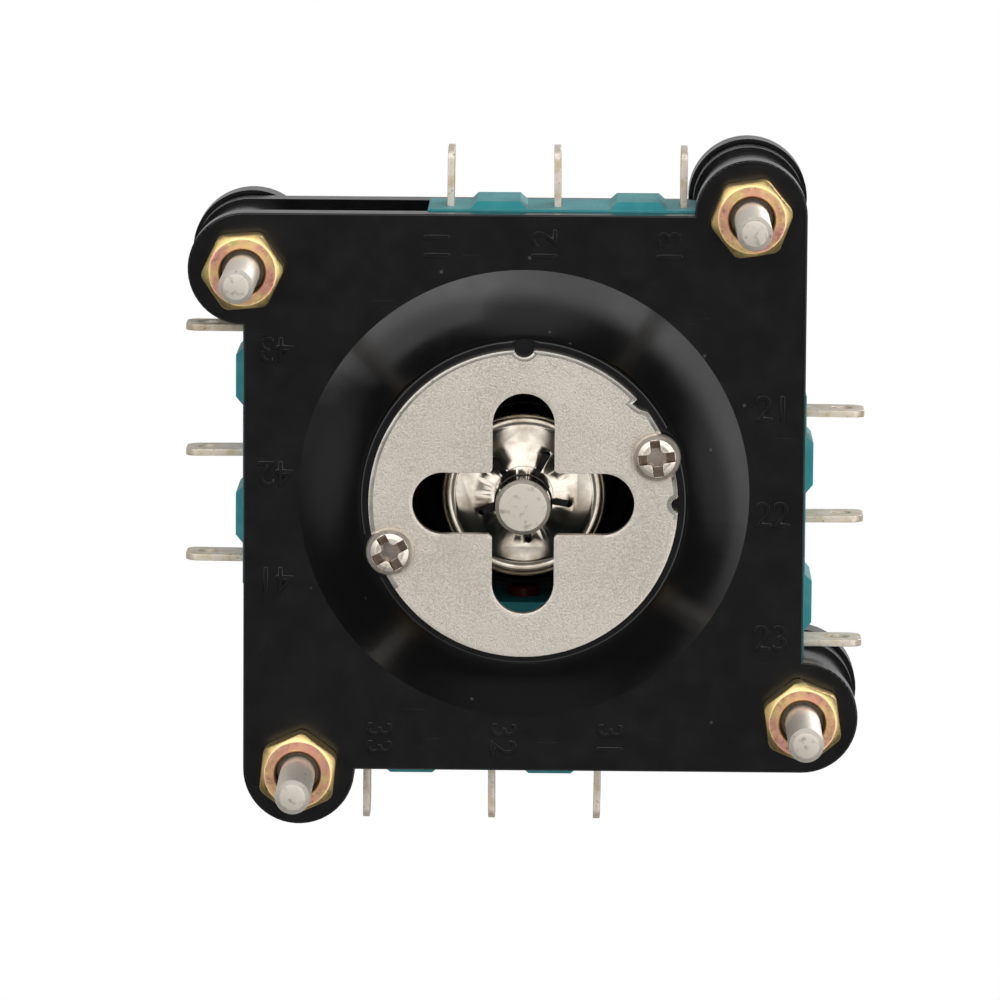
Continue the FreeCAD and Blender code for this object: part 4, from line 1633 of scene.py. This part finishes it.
@dataclass
class SwitchBank:
    """Four microswitches round the lever, with their covers, buttons and blade terminals."""

    outer: float = 26.703
    mid_z: float = 23.65
    case_edge: float = 0.08
    blade_at: tuple[float, ...] = (-7.2, 3.0, 14.9)
    blade_w: float = 4.75
    blade_t: float = 0.65
    blade_edge: float = 0.07
    blade_proud: float = 5.6
    blade_in: float = 3.6
    hole_r: float = 1.0
    hole_in: float = 2.1
    hole_steps: int = 28
    tip_r: float = 1.15
    tip_steps: int = 6
    bends: tuple[float, ...] = (0.10, -0.07, 0.05)

    def blade(self, x: float, bend: float) -> Piece:
        """Makes one blade of switch 1 from a flat outline with a hole.

        Args:
            x: place along the switch.
            bend: how far its tip leans along the switch, in mm.

        Returns:
            The blade, in place.
        """
        half, tip, root = self.blade_w / 2, -(self.outer + self.blade_proud), -self.outer + self.blade_in
        arc = [QUARTER * i / self.tip_steps for i in range(self.tip_steps + 1)]
        side = [(tip + self.tip_r * (1 - math.sin(a)), half - self.tip_r * (1 - math.cos(a))) for a in arc]
        outline = [(root, -half)] + [(u, -v) for u, v in side] + side[::-1] + [(root, half)]
        turns = even_turns(self.hole_steps)
        hole_at = tip + self.hole_in
        hole = [(hole_at + self.hole_r * math.cos(a), self.hole_r * math.sin(a)) for a in turns]
        piece = flat_plate(f"blade_{x:.0f}", [outline, hole], self.blade_t, self.blade_edge)
        stand = Matrix(((0, 0, 1), (1, 0, 0), (0, 1, 0))).to_4x4()
        piece.data.transform(Matrix.Translation((x * MM, 0, self.mid_z * MM)) @ stand)
        for vertex in piece.data.vertices:
            out = -vertex.co.y / MM - self.outer
            if out > 0:
                vertex.co.x += bend * (out / self.blade_proud) ** 2 * MM
        return piece

    def build(self) -> list[Piece]:
        """Builds the cases, covers, blades and buttons.

        Returns:
            Three meshes of four copies each, cases, covers and blades, then the four buttons.
        """
        cases = softened("switch_cases", four("switch_case"), self.case_edge, 2)
        covers = softened("switch_covers", four("switch_cover"), self.case_edge, 2)
        blades = joined("blade_terminals", [self.blade(x, b) for x, b in zip(self.blade_at, self.bends)])
        RingOfCopies("switch ring", TinnedBrass()).apply(blades)
        smooth_by_angle(blades.data, 30)
        buttons = [softened(f"button_{i}", [f"plunger_{i}"], 0.0) for i in range(1, 5)]
        return [cases, covers, blades, *buttons]

    def dress(self, pieces: Sequence[Piece]) -> None:
        """Teal cases and covers, tinned blades, red buttons darkened with painted shade.

        Args:
            pieces: what build made.
        """
        cases, covers, blades, *buttons = pieces
        dress(cases, TealPlastic(), Body.HOUSING, four("switch_case"))
        dress(covers, TealPlastic(), Body.HOUSING, four("switch_cover"))
        kinds = ("normally_closed", "normally_open", "common")
        names = [f"terminal_{kind}_{i}" for i in range(1, 5) for kind in kinds]
        dress(blades, TinnedBrass(), Body.HOUSING, names)
        for i, button in enumerate(buttons, 1):
            # Painted shade: the buttons' red is darkened for the shade inside the housing
            dress(button, RedButton(), Body(f"button_{i}"), [f"plunger_{i}"])


@dataclass
class Lever:
    """Chromed lever with its knob, pivot ball, actuator sleeve and star washer."""

    tip_z: float = 6.4
    tip_r: float = 2.6
    tip_l: float = 3.4
    tip_chamfer: float = 0.38
    tip_face: float = 0.4
    foot_r: float = 2.75
    shaft_r: float = 3.0
    pivot_z: float = 51.5
    knob_z: float = 101.5
    knob_r: float = 15.0
    knob_flat_r: float = 5.0
    knob_steps: int = 48
    knob_chamfer: float = 0.3
    bore_r: float = 2.5
    bearing_edge: float = 0.15
    star_edge: float = 0.1
    thread_r: float = 2.45
    thread_l: float = 12.0

    def rod(self, flat: float) -> Piece:
        """Makes the rod.

        Args:
            flat: height of the knob's flat in mm.

        Returns:
            The rod, from its tip to its end in the knob.
        """
        neck, end = self.tip_z + self.tip_l, flat + self.thread_l
        profile = [
            (0.0, self.tip_z), (self.tip_r - self.tip_chamfer, self.tip_z),
            (self.tip_r, self.tip_z + self.tip_chamfer), (self.tip_r, neck), (self.foot_r, neck + 0.15),
            (self.foot_r, self.pivot_z), (self.shaft_r, self.pivot_z), (self.shaft_r, flat),
            (self.thread_r, flat), (self.thread_r, end), (0.0, end),
        ]
        rod = turned("lever_rod", fillet(profile, [0, 0.12, 0.12, 0.05, 0.05, 0, 0, 0, 0, 0, 0], 4), 128)
        smooth_by_angle(rod.data, 30)
        return rod

    def knob(self, flat: float) -> Piece:
        """Makes the ball knob with its bore.

        Args:
            flat: height of the knob's flat in mm.

        Returns:
            The knob.
        """
        end, mouth = flat + self.thread_l, self.knob_chamfer
        ball = [(0.0, end), (self.bore_r, end), (self.bore_r, flat + mouth), (self.bore_r + mouth, flat)]
        ball.append((self.knob_flat_r - mouth, flat))
        start = math.asin(self.knob_flat_r / self.knob_r)
        for i in range(1, self.knob_steps):
            a = start + (math.pi - start) * i / self.knob_steps
            ball.append((self.knob_r * math.sin(a), self.knob_z - self.knob_r * math.cos(a)))
        ball.append((0.0, self.knob_z + self.knob_r))
        knob = turned("knob", ball, 160)
        smooth_by_angle(knob.data, 35)
        return knob

    def build(self) -> list[Piece]:
        """Builds the rod, the knob, the star washer, the sleeve and the ball.

        Returns:
            The five pieces in that order.
        """
        rise = self.knob_r - math.sqrt(self.knob_r ** 2 - self.knob_flat_r ** 2)
        flat = self.knob_z - self.knob_r + rise
        rod, knob = self.rod(flat), self.knob(flat)
        star = softened("star_washer_bright", ["star_washer"], self.star_edge, 2, False)
        sleeve = softened("actuator", ["actuator_sleeve"], self.bearing_edge)
        pivot = softened("pivot", ["pivot_ball"], self.bearing_edge)
        return [rod, knob, star, sleeve, pivot]

    def dress(self, pieces: Sequence[Piece]) -> None:
        """Chrome rod, polished knob, bright washer, and acetal bearing parts in painted-shade black.

        Args:
            pieces: what build made.
        """
        rod, knob, star, sleeve, pivot = pieces
        dress(rod, PolishedChrome(), Body.LEVER, ["lever_shaft"])
        coat_faces(rod, BrushedEnd(), lambda centre, normal: centre.z < self.tip_z + self.tip_face)
        dress(knob, PhenolicKnob(), Body.LEVER, ["ball_knob"])
        dress(star, BrightWasher(), Body.LEVER, ["star_washer"])
        # Painted shade: the bearing parts are black for the shade inside the housing
        dress(sleeve, PaintedShadeAcetal(), Body.LEVER, ["actuator_sleeve"])
        dress(pivot, PaintedShadeAcetal(), Body.LEVER, ["pivot_ball"])


@dataclass
class SeatAndSpring:
    """Ball seat, its retainer and the conical centring spring."""

    spring_low_r: float = 3.75
    spring_top_r: float = 7.4
    wire_r: float = 0.45
    wire_kept: float = 0.98
    turns: float = 5.5
    edge: float = 0.15

    def build(self) -> list[Piece]:
        """Builds the spring between the sleeve and the retainer, and the seat's rings.

        Returns:
            The spring, the seat and the retainer.
        """
        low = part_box("actuator_sleeve")[1].z / MM + self.wire_r
        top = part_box("seat_retainer")[0].z / MM - self.wire_r
        coil = WireCone(
            "spring_wire", DrawnSpringSteel(), self.spring_low_r, self.spring_top_r, top - low, self.turns,
            self.wire_r * self.wire_kept,
        )
        spring = coil.make(low)
        seat = softened("bearing_seat", ["ball_seat"], self.edge)
        retainer = softened("retainer", ["seat_retainer"], self.edge)
        return [spring, seat, retainer]

    def dress(self, pieces: Sequence[Piece]) -> None:
        """Steel spring, and acetal rings in painted-shade black.

        Args:
            pieces: what build made.
        """
        spring, seat, retainer = pieces
        spring.data.materials.clear()
        spring.data.materials.append(DrawnSpringSteel().material())
        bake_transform(spring)
        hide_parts("centring_spring")
        LOG.info("%s: %d faces, bends with the lever", spring.name, len(spring.data.polygons))
        # Painted shade: the seat's rings are black for the shade inside the housing
        dress(seat, PaintedShadeAcetal(), Body.SEAT, ["ball_seat"])
        dress(retainer, PaintedShadeAcetal(), Body.HOUSING, ["seat_retainer"])


@dataclass
class TopSide:
    """Upper plate, gasket, mounting flange, boot ring and bellows boot."""

    plate_edge: float = 0.16
    flange_edge: float = 0.2
    gasket_edge: float = 0.15
    foot_z: float = 37.9
    foot_r: float = 20.6
    foot_h: float = 1.5
    crest_low_r: float = 20.0
    crest_top_r: float = 10.8
    fold_depth: float = 2.4
    folds: int = 6
    fold_h: float = 4.8
    fold_steps: int = 14
    fold_fullness: float = 0.8
    wall: float = 0.9
    collar_r: float = 5.2
    collar_h: float = 4.5
    rod_r: float = 3.3

    def bellows(self) -> Piece:
        """Makes the boot from one folded profile, with crests that shrink towards the collar.

        Returns:
            The boot.
        """
        start = self.foot_z + self.foot_h
        outer: list[Point2] = []
        inner: list[Point2] = []
        steps = self.folds * self.fold_steps
        for i in range(steps + 1):
            share = i / steps
            crest = self.crest_low_r + (self.crest_top_r - self.crest_low_r) * share
            swell = math.sin(math.pi * (i % self.fold_steps) / self.fold_steps) ** self.fold_fullness
            r = crest - self.fold_depth * (1 - swell)
            z = start + share * self.folds * self.fold_h
            outer.append((r, z))
            inner.append((r - self.wall, z))
        low = outer[-1][1]
        top = low + self.collar_h
        collar = [
            (self.collar_r + 1.2, low + 0.25), (self.collar_r, low + self.wall + 0.3),
            (self.collar_r, top - 0.4), (self.collar_r - 0.4, top), (self.rod_r + 0.2, top),
            (self.rod_r, top - 0.2), (self.rod_r, low + 0.1),
        ]
        rest = self.foot_z + 0.05
        foot = [(inner[0][0], rest), (self.foot_r, rest), (self.foot_r, start - 0.1)]
        boot = turned("boot", outer + collar + inner[::-1] + foot, 128, True)
        smooth_by_angle(boot.data, 40)
        return boot

    def build(self) -> list[Piece]:
        """Builds the upper plate, flange, ring, gasket and boot.

        Returns:
            The five pieces in that order.
        """
        upper = softened("upper_moulding", ["upper_plate"], self.plate_edge)
        flange = softened("flange", ["mounting_flange"], self.flange_edge)
        ring = softened("clamp_ring", ["boot_ring"], self.flange_edge)
        gasket = softened("gasket", ["panel_gasket"], self.gasket_edge)
        return [upper, flange, ring, gasket, self.bellows()]

    def dress(self, pieces: Sequence[Piece]) -> None:
        """Black mouldings and rubber.

        Args:
            pieces: what build made.
        """
        upper, flange, ring, gasket, boot = pieces
        dress(upper, GlossMoulding(), Body.HOUSING, ["upper_plate"])
        dress(flange, GlossMoulding(), Body.HOUSING, ["mounting_flange"])
        dress(ring, GlossMoulding(), Body.HOUSING, ["boot_ring"])
        dress(gasket, BootRubber(), Body.HOUSING, ["panel_gasket"])
        boot.data.materials.append(BootRubber().material())
        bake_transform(boot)
        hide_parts("bellows_boot")
        LOG.info("%s: %d faces, bends with the lever", boot.name, len(boot.data.polygons))


# Stage


@dataclass(frozen=True)
class Glow:
    """A soft patch of light in the room, placed by its angle from -Z and its turn from +X, in degrees."""

    off_axis: float
    turn: float
    inner: float
    outer: float
    level: float

    def direction(self) -> Vector:
        """Direction of the patch's middle."""
        off, turn = math.radians(self.off_axis), math.radians(self.turn)
        return Vector((math.sin(off) * math.cos(turn), math.sin(off) * math.sin(turn), -math.cos(off)))


@dataclass(frozen=True)
class Softbox:
    """An area light that points at the switch."""

    name: str
    place: Point3
    size: tuple[float, float]
    power: float


@dataclass
class Studio:
    """Camera at the photograph's angle, soft lights and a pale floor."""

    lens: float = 266.8
    sensor: float = 36.0
    clip: tuple[float, float] = (0.01, 20.0)
    distance: float = 700.0
    shift: tuple[float, float] = (2.25, 0.54)
    tilt: tuple[float, float, float] = (8.06, -0.69, -0.47)
    face_z: float = 15.5
    target: Point3 = (0.0, 0.0, 15.0)
    floor_colour: str = "#EFEEEB"
    floor_half: float = 1600.0
    floor_z: float = -0.2
    room_base: float = 0.05
    back: float = 0.9
    back_mirrored: float = 0.4
    back_inner: float = 50.0
    back_outer: float = 92.0
    front: float = 1.75
    front_aim: Point3 = (0.16, -0.12, -1.0)
    front_inner: float = 36.0
    front_outer: float = 54.0
    dim_level: float = 0.07
    dim_inner: float = 13.0
    dim_outer: float = 24.0
    sides: tuple[Glow, ...] = (
        Glow(64.0, -90.0, 8.0, 26.0, 0.5),
        Glow(64.0, 180.0, 8.0, 24.0, 0.4),
        Glow(64.0, 0.0, 8.0, 24.0, 0.5),
        Glow(64.0, 90.0, 8.0, 24.0, 0.15),
        Glow(44.0, -150.0, 5.0, 14.0, 0.3),
        Glow(44.0, -100.0, 5.0, 14.0, 0.3),
        Glow(44.0, -50.0, 5.0, 14.0, 0.45),
    )
    softboxes: tuple[Softbox, ...] = (
        Softbox("key softbox", (-300, 330, 440), (460, 380), 0.6),
        Softbox("knob softbox", (450, 430, -420), (400, 400), 2.5),
    )

    def axes(self) -> tuple[Vector, Vector, Vector, Vector]:
        """Works out the camera's place.

        Returns:
            Right, up and back directions and the position in mm, in the frame's axes.
        """
        rx, ry, rz = (math.radians(a) for a in self.tilt)
        turn = Matrix.Rotation(rz, 3, "Z") @ Matrix.Rotation(ry, 3, "Y") @ Matrix.Rotation(rx, 3, "X")
        back_turn = turn.transposed()
        place = back_turn @ (Vector((0, 0, self.distance)) - Vector((*self.shift, 0)))
        flip = Matrix(((1, 0, 0), (0, -1, 0), (0, 0, -1)))
        right, up, back = (flip @ back_turn.col[i] for i in range(3))
        return right, up, back, flip @ place + Vector((0, 0, self.face_z))

    def camera(self) -> None:
        """Adds the camera."""
        right, up, back, place = self.axes()
        data = bpy.data.cameras.new("photo camera")
        data.lens = self.lens
        data.sensor_fit = "HORIZONTAL"
        data.sensor_width = self.sensor
        data.clip_start, data.clip_end = self.clip
        camera = object_from("photo camera", data)
        world = Matrix((right, up, back)).transposed().to_4x4()
        world.translation = place * MM
        camera.matrix_world = world
        bpy.context.scene.camera = camera

    def add_softbox(self, box: Softbox) -> None:
        """Adds an area light.

        Args:
            box: its place right, up and back from the switch along the camera's axes, its width and height,
                all in mm, and its power in watts.
        """
        right, up, back, _ = self.axes()
        spot = Vector(self.target) + right * box.place[0] + up * box.place[1] + back * box.place[2]
        data = bpy.data.lights.new(box.name, "AREA")
        data.shape = "RECTANGLE"
        data.size, data.size_y = box.size[0] * MM, box.size[1] * MM
        data.energy = box.power
        light = object_from(box.name, data)
        aim = (Vector(self.target) - spot).normalized().to_track_quat("-Z", "Y")
        light.matrix_world = Matrix.Translation(spot * MM) @ aim.to_matrix().to_4x4()

    def world(self) -> None:
        """White backdrop for the camera, and one soft room for all other rays.

        The room is white behind the switch and bright round the camera. It has a dim patch where the flat
        black faces mirror it, and seven soft patches out to the sides that give the collar's cone its sheen.
        """
        world = bpy.data.worlds.new("studio world")
        world.use_nodes = True
        tree = world.node_tree
        tree.nodes.clear()
        where = add_node(tree, "ShaderNodeTexCoord").outputs["Generated"]
        _, _, back, _ = self.axes()
        mirror = Vector((-back.x, -back.y, back.z))
        ray = add_node(tree, "ShaderNodeLightPath")
        behind = self.add_glow(tree, where, 0.0, Vector((0, 0, 1)), self.back_inner, self.back_outer, 1.0)
        share = add_node(tree, "ShaderNodeMix", {
            0: ray.outputs["Is Glossy Ray"], 2: self.back, 3: self.back_mirrored,
        }, data_type="FLOAT")
        level = add_node(tree, "ShaderNodeMath", {
            0: behind, 1: share, 2: self.room_base,
        }, operation="MULTIPLY_ADD")
        for glow in self.sides:
            level = self.add_glow(tree, where, level, glow.direction(), glow.inner, glow.outer, glow.level)
        aim = Vector(self.front_aim)
        front = self.add_glow(tree, where, 0.0, aim, self.front_inner, self.front_outer, self.front)
        dim = self.add_glow(tree, where, 0.0, mirror, self.dim_inner, self.dim_outer, 1.0 - self.dim_level)
        kept = add_node(tree, "ShaderNodeMath", {0: 1.0, 1: dim}, operation="SUBTRACT")
        front_kept = add_node(tree, "ShaderNodeMath", {0: front, 1: kept}, operation="MULTIPLY")
        room = add_node(tree, "ShaderNodeMath", {0: level, 1: front_kept}, operation="ADD")
        shown = add_node(tree, "ShaderNodeMix", {
            0: ray.outputs["Is Camera Ray"], 2: room, 3: 1.0,
        }, data_type="FLOAT")
        backdrop = add_node(tree, "ShaderNodeBackground", {"Color": (1.0, 1.0, 1.0, 1.0), "Strength": shown})
        add_node(tree, "ShaderNodeOutputWorld", {"Surface": backdrop})
        bpy.context.scene.world = world

    @staticmethod
    def add_glow(
        tree: Tree, where: Socket, base: Node | float, aim: Vector, inner: float, outer: float, level: float
    ) -> Node:
        """Adds a soft round patch of light to the world.

        Args:
            tree: the world's nodes.
            where: direction that is looked at.
            base: what the patch is added to.
            aim: direction of its middle.
            inner: angle in degrees up to which it is full.
            outer: angle in degrees at which it is gone.
            level: its brightness.

        Returns:
            The sum.
        """
        near = add_node(tree, "ShaderNodeVectorMath", {
            0: where, 1: aim.normalized(),
        }, operation="DOT_PRODUCT")
        patch = add_node(tree, "ShaderNodeMapRange", {
            "Value": near, "From Min": math.cos(math.radians(outer)),
            "From Max": math.cos(math.radians(inner)), "To Min": 0.0, "To Max": level,
        }, interpolation_type="SMOOTHSTEP")
        return add_node(tree, "ShaderNodeMath", {0: base, 1: patch}, operation="ADD")

    def floor(self) -> None:
        """Adds the pale floor under the screw ends, seen from above only."""
        half, z = self.floor_half * MM, self.floor_z * MM
        mesh = bpy.data.meshes.new("floor")
        corners = [(-half, -half, z), (half, -half, z), (half, half, z), (-half, half, z)]
        mesh.from_pydata(corners, [], [(0, 1, 2, 3)])
        floor = object_from("floor", mesh)
        material = bpy.data.materials.new("PaleFloor")
        material.use_nodes = True
        tree = material.node_tree
        tree.nodes.clear()
        side = add_node(tree, "ShaderNodeNewGeometry").outputs["Backfacing"]
        pale = add_node(tree, "ShaderNodeBsdfDiffuse", {"Color": linear(self.floor_colour)})
        clear = add_node(tree, "ShaderNodeBsdfTransparent")
        pick = add_node(tree, "ShaderNodeMixShader", {0: side, 1: pale, 2: clear})
        add_node(tree, "ShaderNodeOutputMaterial", {"Surface": pick})
        mesh.materials.append(material)
        floor.visible_diffuse = False
        floor.visible_glossy = False
        floor.visible_transmission = False
        floor.visible_shadow = False

    def build(self) -> None:
        """Adds camera, world, floor and lights."""
        self.camera()
        self.world()
        self.floor()
        for box in self.softboxes:
            self.add_softbox(box)


def main() -> None:
    """Builds every sub-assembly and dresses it."""
    logging.basicConfig(level=logging.INFO, format="%(name)s: %(message)s")
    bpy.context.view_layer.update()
    parts = (BasePlate(), CrossGate(), CornerHardware(), SwitchBank(), Lever(), SeatAndSpring(), TopSide())
    for part in parts:
        part.dress(part.build())
    Studio().build()
    bpy.context.scene.view_settings.view_transform = "Standard"
    bpy.context.view_layer.update()


if __name__ == "__main__":
    main()
